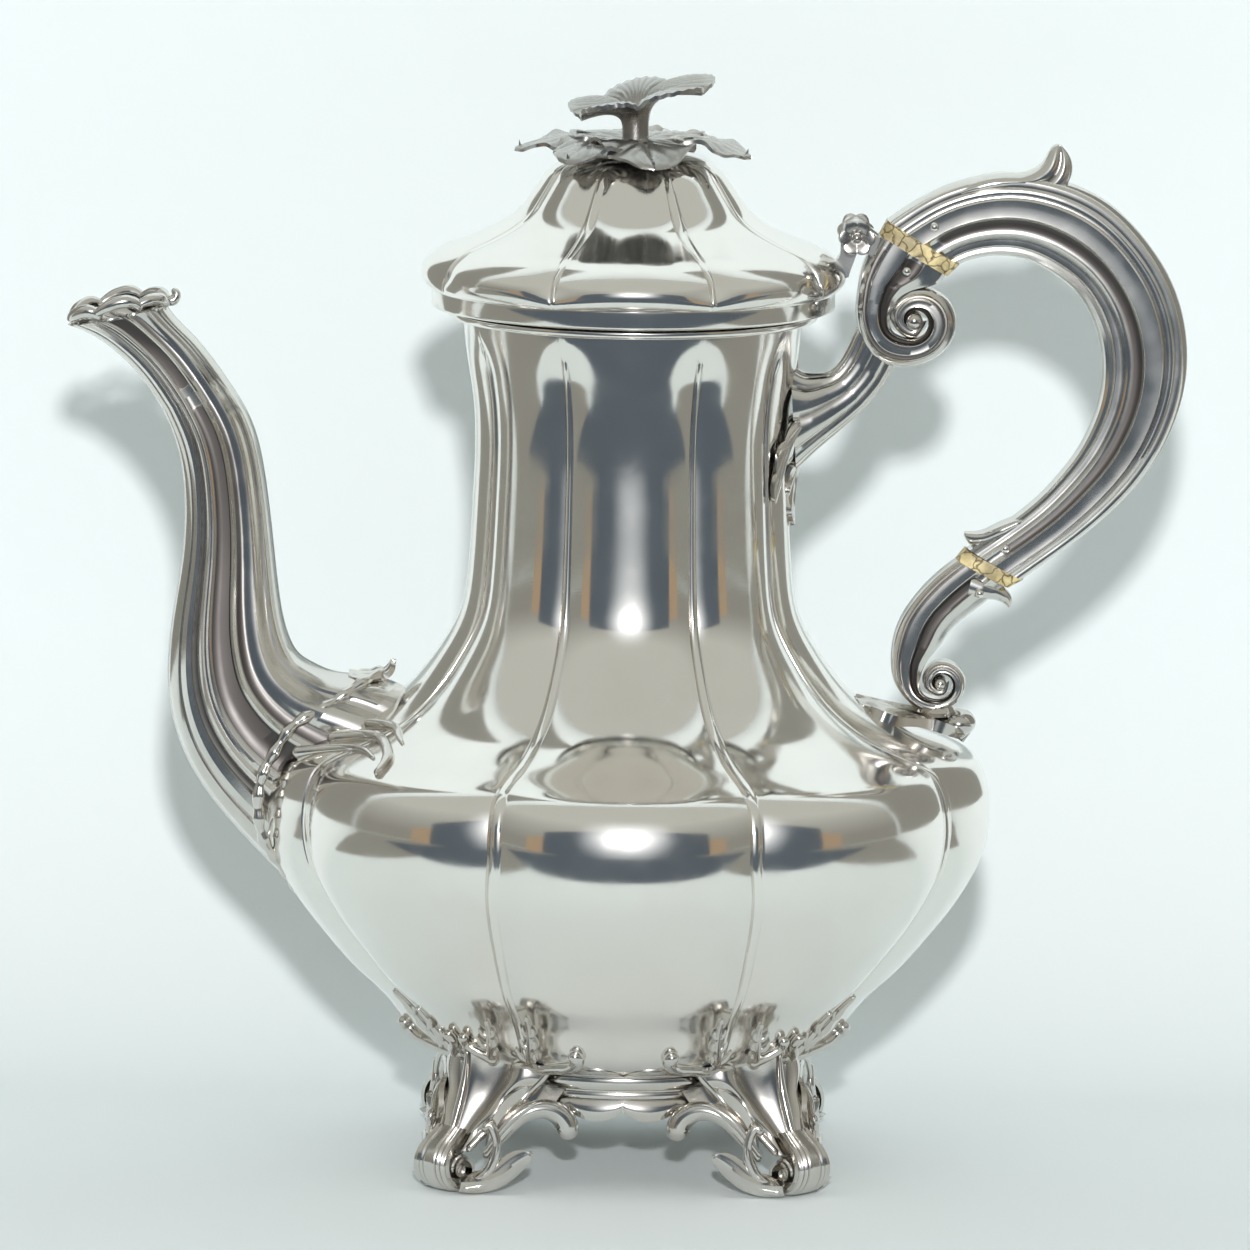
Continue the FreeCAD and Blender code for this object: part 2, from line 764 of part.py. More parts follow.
def make_upper_socket():
    outer, inner = end_corners(upper_socket_end, UPPER_ACROSS, number("upper_width") - 0.6)
    runs = shifted([SOCKET_BACK, SOCKET_LEAF, [SOCKET_WALL[0]], [SOCKET_WALL[1]], SOCKET_STRUT[:-1],
                    SOCKET_VOLUTE], rim_corner.x, rim_corner.z)
    outline = [[outer]] + runs + [[inner]]
    shape = slab(outline, number("socket_thick") / 2)
    shape = shape.cut(body_outer)
    shape = shape.cut(tenon_box(upper_socket_end, UPPER_ACROSS, upper_normal * -1, 0.2))
    shape = shape.cut(cross_bore(cross_pin_spot(upper_socket_end, upper_normal * -1)))
    return max(shape.Solids, key=lambda solid: solid.Volume)


# measured from the seat on the shoulder: down the outer edge, along the mount, round the volute, up inside
LOWER_OUTER = [(3.3, 36.6), (0.0, 33.9), (-3.2, 29.8), (-5.8, 26.0), (-7.3, 21.5), (-7.9, 17.1), (-7.4, 13.7),
               (-5.0, 9.4)]
LOWER_SEAT = [(-2.5, 7.6), (5.2, 6.1)]
LOWER_VOLUTE = [(5.2, 6.1), (8.2, 8.2), (9.2, 11.2), (8.4, 14.6), (6.0, 17.0), (3.4, 18.0)]
LOWER_INNER = [(3.4, 18.0), (4.0, 21.5), (6.1, 24.6), (8.9, 27.3), (12.2, 28.7)]


def make_lower_socket():
    outer, inner = end_corners(lower_socket_end, LOWER_ACROSS, number("lower_width") - 0.6)
    runs = shifted([LOWER_OUTER, [LOWER_SEAT[0]], LOWER_VOLUTE[:-1], LOWER_INNER], seat.x, seat.z)
    outline = [[outer]] + runs + [[inner]]
    shape = slab(outline, number("lower_thick") / 2)
    shape = shape.cut(tenon_box(lower_socket_end, LOWER_ACROSS, lower_normal * -1, 0.2))
    shape = shape.cut(cross_bore(cross_pin_spot(lower_socket_end, lower_normal * -1)))
    return max(shape.Solids, key=lambda solid: solid.Volume)


MOUNT_HALF_WIDTH = 8.5


def make_lower_mount():
    """A leaf on the shoulder: its top is level with the socket's seat, its underside is the body."""
    top = [[(-15.0, 9.0)], [(-2.5, 7.6)], [(5.2, 6.1)], [(8.5, 4.0), (11.0, 0.5), (11.5, -3.5)], [(8.0, -9.0)],
           [(-16.0, -9.0)]]
    leaf = slab(shifted(top, seat.x, seat.z), MOUNT_HALF_WIDTH)
    plan = Part.Ellipse(V(seat.x - 2.0, 0, 0), 15.0, MOUNT_HALF_WIDTH)
    blank = Part.Face(Part.Wire([plan.toShape()])).extrude(V(0, 0, 300))
    shape = leaf.common(blank).cut(body_outer)
    return max(shape.Solids, key=lambda solid: solid.Volume)


free_form("upper_socket", make_upper_socket())
free_form("lower_socket", make_lower_socket())
free_form("lower_mount", make_lower_mount())


# ---------------------------------------------------------------- hinge

hinge_axis = rim_corner + V(number("hinge_out"), 0, number("hinge_up"))


def barrel(radius, low_y, high_y):
    return Part.makeCylinder(radius, high_y - low_y, V(hinge_axis.x, low_y, hinge_axis.z), V(0, 1, 0))


def make_fixed_knuckles():
    """Two barrels on the head of the upper socket, one each side of the lid's knuckle."""
    near = number("lid_knuckle") / 2 + number("knuckle_gap")
    far = near + number("fixed_knuckle")
    parts = []
    ear = [[(0.0, 1.6)], [(2.6, 1.6)], [(5.2, -0.4)], [(3.6, -4.2)], [(0.0, -2.6)]]
    for low, high in ((near, far), (-far, -near)):
        web = slab(shifted(ear, hinge_axis.x, hinge_axis.z), (high - low) / 2)
        web.translate(V(0, (low + high) / 2, 0))
        knuckle = barrel(number("knuckle_radius"), low, high).fuse(web)
        knuckle = knuckle.cut(barrel(number("hinge_pin"), -40, 40))
        knuckle = knuckle.cut(upper_socket_solid)
        parts.append(max(knuckle.Solids, key=lambda solid: solid.Volume))
    return Part.makeCompound(parts)


def make_flower_head(label, side):
    """A six-petalled cap on one end of the hinge pin, facing out along Y."""
    body = new_body(label)
    disc = new_sketch(body, "XY_Plane", "centre")
    add_circle(disc, 0.0, 0.0, size("flower_head") * 0.55, "disc")
    pad(body, disc, size("flower_thick"), "centre_pad")
    petal = new_sketch(body, "XY_Plane", "petal")
    add_circle(petal, size("flower_head") * 0.66, 0.0, size("flower_head") * 0.34, "petal")
    petal_pad = pad(body, petal, size("flower_thick") * 0.7, "petal_pad")
    polar_pattern(body, petal, [petal_pad], 6, "petals")
    bore = new_sketch(body, "XY_Plane", "bore")
    add_circle(bore, 0.0, 0.0, size("hinge_pin"), "bore")
    hole = body.newObject("PartDesign::Pocket", "pin_seat")
    hole.Profile = bore
    hole.Length = 1.0
    hole.Reversed = True
    body.Tip = hole
    out = number("lid_knuckle") / 2 + number("knuckle_gap") + number("fixed_knuckle")
    place = V(hinge_axis.x, side * out, hinge_axis.z)
    body.Placement = FreeCAD.Placement(place, FreeCAD.Rotation(V(0, 0, 1), V(0, side, 0)))
    return body


upper_socket_solid = doc.getObject("upper_socket").Shape
free_form("hinge_knuckles", make_fixed_knuckles())
make_flower_head("hinge_flower_front", -1)
make_flower_head("hinge_flower_back", 1)
pin_length = size("lid_knuckle") + 2 * size("knuckle_gap") + 2 * size("fixed_knuckle") + 2.0
cylinder("hinge_pin", size("hinge_pin"), pin_length, hinge_axis - V(0, float(pin_length) / 2, 0), V(0, 1, 0))


# ---------------------------------------------------------------- lid

# share of the rim radius, share of the lid's rise, panel depth share
LID_OUTLINE = [(0.954, 0.0, 0.6), (0.984, 0.045, 0.8), (1.0, 0.122, 1.0), (0.985, 0.19, 1.0), (0.945, 0.252, 1.0),
               (0.891, 0.308, 1.0), (0.806, 0.362, 1.0), (0.702, 0.428, 1.0), (0.618, 0.495, 1.0),
               (0.542, 0.588, 1.0), (0.495, 0.688, 1.0), (0.448, 0.795, 1.0), (0.405, 0.88, 0.9),
               (0.33, 0.95, 0.7), (0.22, 0.99, 0.3)]
LID_PANEL = 22.9
lid_base = number("rim_height") + number("collar_rise") + number("lid_gap") + number("bezel_wall")


def lid_levels():
    levels = []
    for out, up, depth in LID_OUTLINE:
        levels.append((out * number("lid_radius"), lid_base + up * number("lid_rise"), depth, LID_PANEL))
    levels.append((number("crown_flat"), lid_base + number("lid_rise"), 0.0, LID_PANEL))
    return levels


outer_lid_levels = lid_levels()
crown_top = lid_base + number("lid_rise")
above_crown = Part.makeBox(100, 100, 20, V(-50, -50, crown_top))
lid_outer = loft([panelled_ring(*level) for level in outer_lid_levels]).cut(above_crown)
inner_lid_levels = inset(outer_lid_levels, number("lid_wall"))
inner_lid_levels[0] = (inner_lid_levels[0][0], lid_base - 1.0) + inner_lid_levels[0][2:]
crown_inside = crown_top - number("lid_wall")
below_crown = Part.makeBox(100, 100, 20, V(-50, -50, crown_inside))
inner_lid_levels[-1] = (inner_lid_levels[-1][0], crown_inside) + inner_lid_levels[-1][2:]
lid_inner = loft([panelled_ring(*level) for level in inner_lid_levels]).cut(below_crown)
stud_hole = Part.makeCylinder(number("stud_radius"), 30, V(0, 0, crown_inside - 10))
free_form("lid_shell", lid_outer.cut(lid_inner).cut(stud_hole))


def make_lid_bezel():
    """The flange that drops into the mouth, with the seat that closes the lid's rim underneath."""
    body = new_body("lid_bezel")
    seat_top = size("rim_height") + size("collar_rise") + size("lid_gap") + size("bezel_wall")
    seat_low = size("rim_height") + size("collar_rise") + size("lid_gap")
    reach = size("lid_radius") * 0.95
    ring = size("rim_radius") - size("body_wall") - size("bezel_gap")
    bore = ring - size("bezel_wall")
    drop = seat_low - size("bezel_drop")
    corners = [(bore, drop), (ring - 0.4, drop), (ring, drop + 0.6), (ring, seat_low), (reach, seat_low),
               (reach, seat_top), (bore, seat_top)]
    revolve(body, corners, "bezel_ring")
    return body


def make_lid_lug():
    """The arm that rises from the lid's rim to the middle knuckle."""
    half = number("lid_knuckle") / 2
    rise = hinge_axis.z - lid_base
    arm = [[(-0.4, 3.1), (-2.6, 1.6), (-3.4, -1.5), (-3.6, -4.5)], [(-6.0, -rise + 6.5)], [(-4.5, -rise + 2.5)],
           [(-1.6, -rise + 3.4), (-0.4, -5.6), (0.4, -3.1)]]
    web = slab(shifted(arm, hinge_axis.x, hinge_axis.z), half)
    lug = web.fuse(barrel(number("knuckle_radius"), -half, half))
    lug = lug.cut(barrel(number("hinge_pin") + number("pin_clearance"), -40, 40)).cut(lid_outer)
    return max(lug.Solids, key=lambda solid: solid.Volume)


make_lid_bezel()
free_form("lid_lug", make_lid_lug())


# ---------------------------------------------------------------- finial

crown = size("rim_height") + size("collar_rise") + size("lid_gap") + size("bezel_wall") + size("lid_rise")


def make_leaf_calyx():
    """Six leaves round the crown of the lid."""
    body = new_body("leaf_calyx")
    middle = new_sketch(body, "XY_Plane", "middle", crown)
    add_circle(middle, 0.0, 0.0, size("calyx_reach") * 0.45, "middle")
    pad(body, middle, size("calyx_thick"), "middle_pad")
    leaf = new_sketch(body, "XY_Plane", "leaf", crown)
    reach = size("calyx_reach")
    add_polygon(leaf, [(reach * 0.2, -reach * 0.18), (reach * 0.5, -reach * 0.3), (reach * 0.8, -reach * 0.22),
                       (reach, 0.0), (reach * 0.8, reach * 0.22), (reach * 0.5, reach * 0.3),
                       (reach * 0.2, reach * 0.18)], "leaf")
    leaf_pad = pad(body, leaf, size("calyx_thick"), "leaf_pad")
    polar_pattern(body, leaf, [leaf_pad], 6, "leaves")
    bore = new_sketch(body, "XY_Plane", "bore", crown)
    add_circle(bore, 0.0, 0.0, size("stud_radius"), "bore")
    body.Tip = pocket_through(body, bore, "stud_hole")
    return body


def make_finial_flower():
    """A trumpet flower: solid stem on the stud, opening to a shallow cup of petals."""
    body = new_body("finial_flower")
    low = crown + size("calyx_thick")
    tall = size("flower_height")
    wide = size("petal_reach")
    bore = size("stud_radius")
    corners = [
        (bore, low), (wide * 0.17, low), (wide * 0.14, low + tall * 0.16), (wide * 0.2, low + tall * 0.34),
        (wide * 0.36, low + tall * 0.52), (wide * 0.64, low + tall * 0.7), (wide, low + tall * 0.92),
        (wide * 0.97, low + tall), (wide * 0.62, low + tall * 0.8), (wide * 0.34, low + tall * 0.64),
        (wide * 0.18, low + tall * 0.56), (0.0, low + tall * 0.52), (0.0, low + tall * 0.3),
        (bore, low + tall * 0.3),
    ]
    revolve(body, corners, "trumpet")
    return body


def ring_piece(label, radius, thick, base):
    """A washer whose hole fits the stud."""
    body = new_body(label)
    face = new_sketch(body, "XY_Plane", "face", base)
    add_circle(face, 0.0, 0.0, radius, "rim")
    add_circle(face, 0.0, 0.0, size("stud_radius"), "bore")
    pad(body, face, thick, "disc")
    return body


def make_nut(base):
    body = new_body("finial_nut")
    face = new_sketch(body, "XY_Plane", "face", base)
    corner = size("nut_flats") / math.sqrt(3)
    corners = []
    for k in range(6):
        turn = math.radians(60.0 * k)
        corners.append((corner * math.cos(turn), corner * math.sin(turn)))
    add_polygon(face, corners, "hex")
    add_circle(face, 0.0, 0.0, size("stud_radius"), "bore")
    pad(body, face, size("nut_thick"), "hexagon")
    return body


make_leaf_calyx()
make_finial_flower()
washer_base = crown - size("lid_wall") - size("washer_thick")
nut_base = washer_base - size("nut_thick")
ring_piece("finial_washer", size("washer_radius"), size("washer_thick"), washer_base)
make_nut(nut_base)
stud_base = nut_base - 1.5
stud_top = crown + size("calyx_thick") + size("flower_height") * 0.3 - 0.3
cylinder("finial_stud", size("stud_radius"), stud_top - stud_base, V(0, 0, float(stud_base)), V(0, 0, 1))


# ---------------------------------------------------------------- checking and writing

doc.recompute()
PIECES = [obj for obj in doc.Objects
          if obj.TypeId in ("PartDesign::Body", "Part::Feature", "Part::Cylinder")]
for obj in doc.Objects:
    if "Invalid" in obj.State or "Error" in obj.State:
        raise RuntimeError("%s did not build: %s" % (obj.Name, obj.State))
for piece in PIECES:
    if piece.Shape.isNull() or not piece.Shape.isValid() or piece.Shape.Volume <= 0:
        raise RuntimeError("%s has no sound solid" % piece.Label)

os.makedirs("parts", exist_ok=True)
for piece in PIECES:
    piece.Shape.exportStep("parts/%s.step" % piece.Label)
    box = piece.Shape.BoundBox
    print("%-20s %8.2f cm3  x %.1f..%.1f y %.1f..%.1f z %.1f..%.1f" % (
        piece.Label, piece.Shape.Volume / 1000, box.XMin, box.XMax, box.YMin, box.YMax, box.ZMin, box.ZMax))
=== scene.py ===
"""A silver coffee pot on four scroll feet, with a hinged lid and a handle held by bone insulators.

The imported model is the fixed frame. Round pieces take their sizes from the boxes of the nodes they stand for, and
the outlines of handle, sockets, spout and feet are written in the frame's own coordinates.
Lengths inside the building functions are millimetres; finish_piece turns them into metres.
"""

import functools
import math

import bmesh
import bpy
import numpy as np
from mathutils import Matrix, Vector


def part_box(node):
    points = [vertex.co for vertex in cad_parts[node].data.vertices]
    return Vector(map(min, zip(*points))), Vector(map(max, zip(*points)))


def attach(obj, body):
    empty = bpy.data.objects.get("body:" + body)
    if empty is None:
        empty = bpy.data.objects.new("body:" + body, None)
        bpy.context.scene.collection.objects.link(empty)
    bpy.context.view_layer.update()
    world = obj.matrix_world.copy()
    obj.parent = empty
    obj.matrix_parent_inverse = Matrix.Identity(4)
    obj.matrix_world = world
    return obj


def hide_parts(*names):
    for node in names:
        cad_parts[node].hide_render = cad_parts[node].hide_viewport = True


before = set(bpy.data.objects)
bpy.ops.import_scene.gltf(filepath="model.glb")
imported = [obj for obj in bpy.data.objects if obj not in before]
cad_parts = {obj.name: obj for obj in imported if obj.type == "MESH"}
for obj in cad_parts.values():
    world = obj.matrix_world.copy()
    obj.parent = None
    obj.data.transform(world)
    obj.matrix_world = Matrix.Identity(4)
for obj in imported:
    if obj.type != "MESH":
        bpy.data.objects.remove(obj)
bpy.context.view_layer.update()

bl_info = {
    "name": "Silver Coffee Pot",
    "version": (1, 0, 0),
    "blender": (4, 5, 0),
    "location": "3D View > Sidebar > Coffee Pot",
    "description": "Builds a panelled silver coffee pot piece by piece around its packed frame",
    "category": "Add Mesh",
}

MM = 0.001
UP = np.array((0.0, 0.0, 1.0))
FAR_SIDE = np.array((0.0, 1.0, 0.0))
PANELS = 8


# ---------------------------------------------------------------- measures


def low(node):
    """The lowest corner of a node, in millimetres."""
    return np.array(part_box(node)[0]) / MM


def high(node):
    """The highest corner of a node, in millimetres."""
    return np.array(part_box(node)[1]) / MM


def fair(points, count, lead=2):
    """A fair curve through the points, cut into stations. Its first `lead` columns set the spacing."""
    p = np.array(points, float)
    t = np.concatenate([[0], np.cumsum(np.linalg.norm(np.diff(p[:, :lead], axis=0), axis=1))])
    h = np.diff(t)
    n = len(t)
    a, b = np.eye(n), np.zeros(p.shape)
    for i in range(1, n - 1):
        a[i, i - 1 : i + 2] = h[i - 1], 2 * (h[i - 1] + h[i]), h[i]
        b[i] = 6 * ((p[i + 1] - p[i]) / h[i] - (p[i] - p[i - 1]) / h[i - 1])
    m = np.linalg.solve(a, b)
    s = np.linspace(0, t[-1], count)
    k = np.clip(np.searchsorted(t, s, "right") - 1, 0, n - 2)
    u, v = ((t[k + 1] - s) / h[k])[:, None], ((s - t[k]) / h[k])[:, None]
    bend = ((u**3 - u) * m[k] + (v**3 - v) * m[k + 1]) * (h[k] ** 2)[:, None] / 6
    return u * p[k] + v * p[k + 1] + bend


def arc(centre, radius, start, end, count):
    """Points on an arc, in degrees from +x."""
    angles = np.radians(np.linspace(start, end, count))
    return [(centre[0] + radius * math.cos(a), centre[1] + radius * math.sin(a)) for a in angles]


def pane(low_left, high_right, height, facing):
    """One upright or flat rectangle; low_left and high_right are its corners seen from the front or above."""
    (x0, a0), (x1, a1) = low_left, high_right
    bm = bmesh.new()
    bmesh.ops.create_grid(bm, x_segments=1, y_segments=1, size=0.5)
    bmesh.ops.scale(bm, vec=(x1 - x0, a1 - a0, 1), verts=bm.verts)
    if facing == "FRONT":
        bmesh.ops.rotate(bm, cent=(0, 0, 0), matrix=Matrix.Rotation(math.pi / 2, 3, "X"), verts=bm.verts)
        centre = ((x0 + x1) / 2, height, (a0 + a1) / 2)
    else:
        centre = ((x0 + x1) / 2, (a0 + a1) / 2, height)
    bmesh.ops.translate(bm, vec=centre, verts=bm.verts)
    return bm


def ring_angles(count):
    """That many even steps round a circle."""
    return np.arange(count) * 2 * math.pi / count


def unit(vectors):
    """The vectors, each with a length of one."""
    return vectors / np.linalg.norm(vectors, axis=1)[:, None]


def eased(value, start, end):
    """0 before start, 1 after end and a smooth rise between."""
    t = np.clip((np.asarray(value, float) - start) / (end - start), 0, 1)
    return t * t * (3 - 2 * t)


# ---------------------------------------------------------------- blanks


def dressed(table, closed=True):
    """A tube blank, or a flat sheet, whose corners are brought to the places in the table."""
    table = np.asarray(table, float)
    rows, columns = table.shape[:2]
    bm = bmesh.new()
    if closed:
        line = [bm.verts.new((1, 0, z)) for z in range(rows)]
        edges = [bm.edges.new(pair) for pair in zip(line, line[1:])]
        bmesh.ops.spin(bm, geom=line + edges, cent=(0, 0, 0), axis=(0, 0, 1), dvec=(0, 0, 0),
                       angle=2 * math.pi, steps=columns, use_merge=True)
        co = np.array([v.co[:] for v in bm.verts])
        row = np.rint(co[:, 2]).astype(int)
        column = np.rint(np.arctan2(co[:, 1], co[:, 0]) / (2 * math.pi) * columns).astype(int) % columns
    else:
        bmesh.ops.create_grid(bm, x_segments=columns - 1, y_segments=rows - 1, size=0.5)
        co = np.array([v.co[:] for v in bm.verts])
        row = np.rint((co[:, 1] + 0.5) * (rows - 1)).astype(int)
        column = np.rint((co[:, 0] + 0.5) * (columns - 1)).astype(int)
    for vert, i, j in zip(bm.verts, row, column):
        vert.co = table[i, j]
    return bm


def capped(table):
    """The table with its two end rings drawn together to points."""
    ends = [np.repeat(t.mean(0)[None], table.shape[1], 0)[None] for t in (table[0], table[-1])]
    return np.concatenate([ends[0], table, ends[1]])


def thickened(table, thick, closed=False):
    """A flat sheet, or a closed band, brought to the table and given a thickness."""
    bm = dressed(table, closed)
    bmesh.ops.recalc_face_normals(bm, faces=bm.faces[:])
    bmesh.ops.solidify(bm, geom=bm.faces[:], thickness=thick)
    return bm


def turned(profile, columns=96):
    """A solid turned about the upright axis from (radius, height) points."""
    p = np.asarray(profile, float)
    a = ring_angles(columns)
    return dressed(np.stack([p[:, :1] * np.cos(a), p[:, :1] * np.sin(a), p[:, 1:] + 0 * a], -1))


def between_rails(rails, section, depth, count, crowd=(1, 1)):
    """A band between two rails in the upright plane.

    rails holds (outer x, outer z, inner x, inner z), section (share from inner to outer, side share), depth the
    half depth along the rails, and crowd how far the section's mouldings crowd to the inner rail along them.
    """
    r = fair(rails, count, 4)
    inner = np.stack([r[:, 2], 0 * r[:, 0], r[:, 3]], -1)[:, None]
    outer = np.stack([r[:, 0], 0 * r[:, 0], r[:, 1]], -1)[:, None]
    depth = np.interp(np.linspace(0, 1, count), np.linspace(0, 1, len(depth)), depth)
    section = np.asarray(section, float)
    crowd = np.interp(np.linspace(0, 1, count), np.linspace(0, 1, len(crowd)), crowd)[:, None, None]
    across, side = section[None, :, :1] ** crowd, section[None, :, 1:]
    return inner + (outer - inner) * across + FAR_SIDE * side * depth[:, None, None]


def rod(points, radius, count=40, around=14):
    """A round rod along a line of points; radius is one number or a list of radii spread along it."""
    path = fair(points, count, 3)
    along = unit(np.gradient(path, axis=0))
    side = np.cross(along, UP + 0.01 * FAR_SIDE)
    for i in range(1, count):
        side[i] = side[i - 1] - along[i] * (side[i - 1] @ along[i])
    side = unit(side)
    over = np.cross(side, along)
    radii = np.atleast_1d(radius)
    radii = np.interp(np.linspace(0, 1, count), np.linspace(0, 1, len(radii)), radii)
    travel = np.concatenate([[0], np.cumsum(np.linalg.norm(np.diff(path, axis=0), axis=1))])
    for end, reach in ((radii[0], travel), (radii[-1], travel[-1] - travel)):
        radii = radii * np.sqrt(1 - (1 - np.clip(reach / end, 0.02, 1)) ** 2)
    radii = radii[:, None, None]
    a = ring_angles(around)
    ring = side[:, None] * np.cos(a)[None, :, None] + over[:, None] * np.sin(a)[None, :, None]
    return dressed(capped(path[:, None] + ring * radii))


def leaf(points, width, facing, lobes=4, cup=0.25, thick=0.9, rows=44, columns=21, base=0.35):
    """A lobed leaf along a line of points, its upper face turned towards `facing`."""
    path = fair(points, rows, 3)
    along = unit(np.gradient(path, axis=0))
    side = unit(np.cross(along, np.asarray(facing, float)))
    over = np.cross(side, along)
    u = np.linspace(0, 1, rows)[:, None]
    s = np.linspace(-1, 1, columns)[None]
    outline = (base + (1 - base) * np.sin(math.pi * np.minimum(u / 0.7, 1) / 2)) * np.sqrt(np.clip(1 - u**3, 0, 1))
    outline = width * outline * (1 - 0.26 * np.abs(np.cos(math.pi * lobes * u)) * (1 - u))
    rise = -cup * width * s**2 + 0.10 * width * np.exp(-((s / 0.14) ** 2))
    rise = rise + 0.05 * width * np.cos(2 * math.pi * (lobes * u - 1.3 * np.abs(s))) * np.abs(s)
    table = path[:, None] + side[:, None] * (outline * s)[..., None] + over[:, None] * (rise * (1 - u**4))[..., None]
    return thickened(table, thick)


def ball(centre, radius, flat=(1, 1, 1)):
    """A small ball, flattened by shares."""
    bm = bmesh.new()
    bmesh.ops.create_uvsphere(bm, u_segments=24, v_segments=16, radius=radius)
    bmesh.ops.scale(bm, vec=flat, verts=bm.verts)
    bmesh.ops.translate(bm, vec=centre, verts=bm.verts)
    return bm


def drum(centre, radius, length, soft):
    """A short drum with softened edges, lying across the pot."""
    bm = bmesh.new()
    bmesh.ops.create_cone(bm, cap_ends=True, segments=24, radius1=radius, radius2=radius, depth=length)
    rims = [e for e in bm.edges if len({round(v.co.z, 4) for v in e.verts}) == 1]
    bmesh.ops.bevel(bm, geom=rims, offset=soft, offset_type="OFFSET", segments=3, profile=0.5, affect="EDGES",
                    material=-1)
    bmesh.ops.rotate(bm, cent=(0, 0, 0), matrix=Matrix.Rotation(-math.pi / 2, 3, "X"), verts=bm.verts)
    bmesh.ops.translate(bm, vec=centre, verts=bm.verts)
    return bm


def gathered(parts):
    """Several meshes as one casting."""
    whole = bmesh.new()
    for part in parts:
        bmesh.ops.remove_doubles(part, verts=part.verts, dist=0.001)
        bmesh.ops.recalc_face_normals(part, faces=part.faces[:])
        mesh = bpy.data.meshes.new("part")
        part.to_mesh(mesh)
        part.free()
        whole.from_mesh(mesh)
        bpy.data.meshes.remove(mesh)
    return whole


def mirrored(bm):
    """The same mesh on the other side of the pot's middle plane."""
    other = bm.copy()
    bmesh.ops.scale(other, vec=(1, -1, 1), verts=other.verts)
    bmesh.ops.reverse_faces(other, faces=other.faces[:])
    return other


def swung(bm, degrees):
    """A copy turned about the upright axis."""
    other = bm.copy()
    bmesh.ops.rotate(other, cent=(0, 0, 0), matrix=Matrix.Rotation(math.radians(degrees), 3, "Z"), verts=other.verts)
    return other


def mark_recesses(mesh, reach):
    """Stores how deep each corner lies below its smoothed surroundings, as the attribute "recess"."""
    count = len(mesh.vertices)
    co, normal = np.empty(count * 3), np.empty(count * 3)
    mesh.vertices.foreach_get("co", co)
    mesh.vertices.foreach_get("normal", normal)
    ends = np.empty(len(mesh.edges) * 2, int)
    mesh.edges.foreach_get("vertices", ends)
    co, normal, ends = co.reshape(-1, 3), normal.reshape(-1, 3), ends.reshape(-1, 2)
    links = np.bincount(ends.ravel(), minlength=count).clip(1)[:, None]

    def relaxed(values):
        total = np.zeros_like(values)
        for a, b in (ends.T, ends.T[::-1]):
            for k in range(values.shape[1]):
                total[:, k] += np.bincount(a, weights=values[b, k], minlength=count)
        return total / links

    smooth = co
    for _ in range(reach):
        smooth = relaxed(smooth)
    depth = ((smooth - co) * normal).sum(1)[:, None] / MM
    for _ in range(2):
        depth = relaxed(depth)
    mesh.attributes.new("recess", "FLOAT", "POINT").data.foreach_set("value", depth[:, 0].astype(np.float32))


def link(name, data):
    """A new object in the scene."""
    made = bpy.data.objects.new(name, data)
    bpy.context.scene.collection.objects.link(made)
    return made


def finish_piece(name, bm, body, nodes, material, wall=0.0, sharp=42, reach=8, merge=True):
    """Closes a mesh, gives it its wall, metres, finish and body, and stands it in for its nodes."""
    if merge:
        bmesh.ops.remove_doubles(bm, verts=bm.verts, dist=0.001)
        bmesh.ops.recalc_face_normals(bm, faces=bm.faces[:])
    if wall:
        bmesh.ops.solidify(bm, geom=bm.faces[:], thickness=wall)
    for face in bm.faces:
        face.smooth = True
    for edge in bm.edges:
        edge.smooth = edge.calc_face_angle(0) < math.radians(sharp)
    bmesh.ops.scale(bm, vec=(MM, MM, MM), verts=bm.verts)
    mesh = bpy.data.meshes.new(name)
    bm.to_mesh(mesh)
    bm.free()
    mark_recesses(mesh, reach)
    mesh.materials.append(material)
    piece = link(name, mesh)
    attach(piece, body)
    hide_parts(*nodes)
    return piece


# ---------------------------------------------------------------- finishes


def shader(name):
    """An empty material with its tree, shader socket and a maker of linked nodes."""
    material = bpy.data.materials.new(name)
    material.use_nodes = True
    tree = material.node_tree
    bsdf = tree.nodes["Principled BSDF"]

    def node(kind, links=(), **values):
        made = tree.nodes.new(kind)
        for key, value in values.items():
            if key in made.inputs:
                made.inputs[key].default_value = value
            else:
                setattr(made, key, value)
        for socket, source in dict(links).items():
            tree.links.new(source, made.inputs[socket])
        return made

    return material, tree, bsdf, node


def remapped(node, source, from_min, from_max, to_min=0.0, to_max=1.0, **more):
    """The source's values between two limits, spread between two others."""
    made = node("ShaderNodeMapRange", {"Value": source}, **more)
    for socket, value in zip(("From Min", "From Max", "To Min", "To Max"), (from_min, from_max, to_min, to_max)):
        made.inputs[socket].default_value = value
    return made.outputs[0]


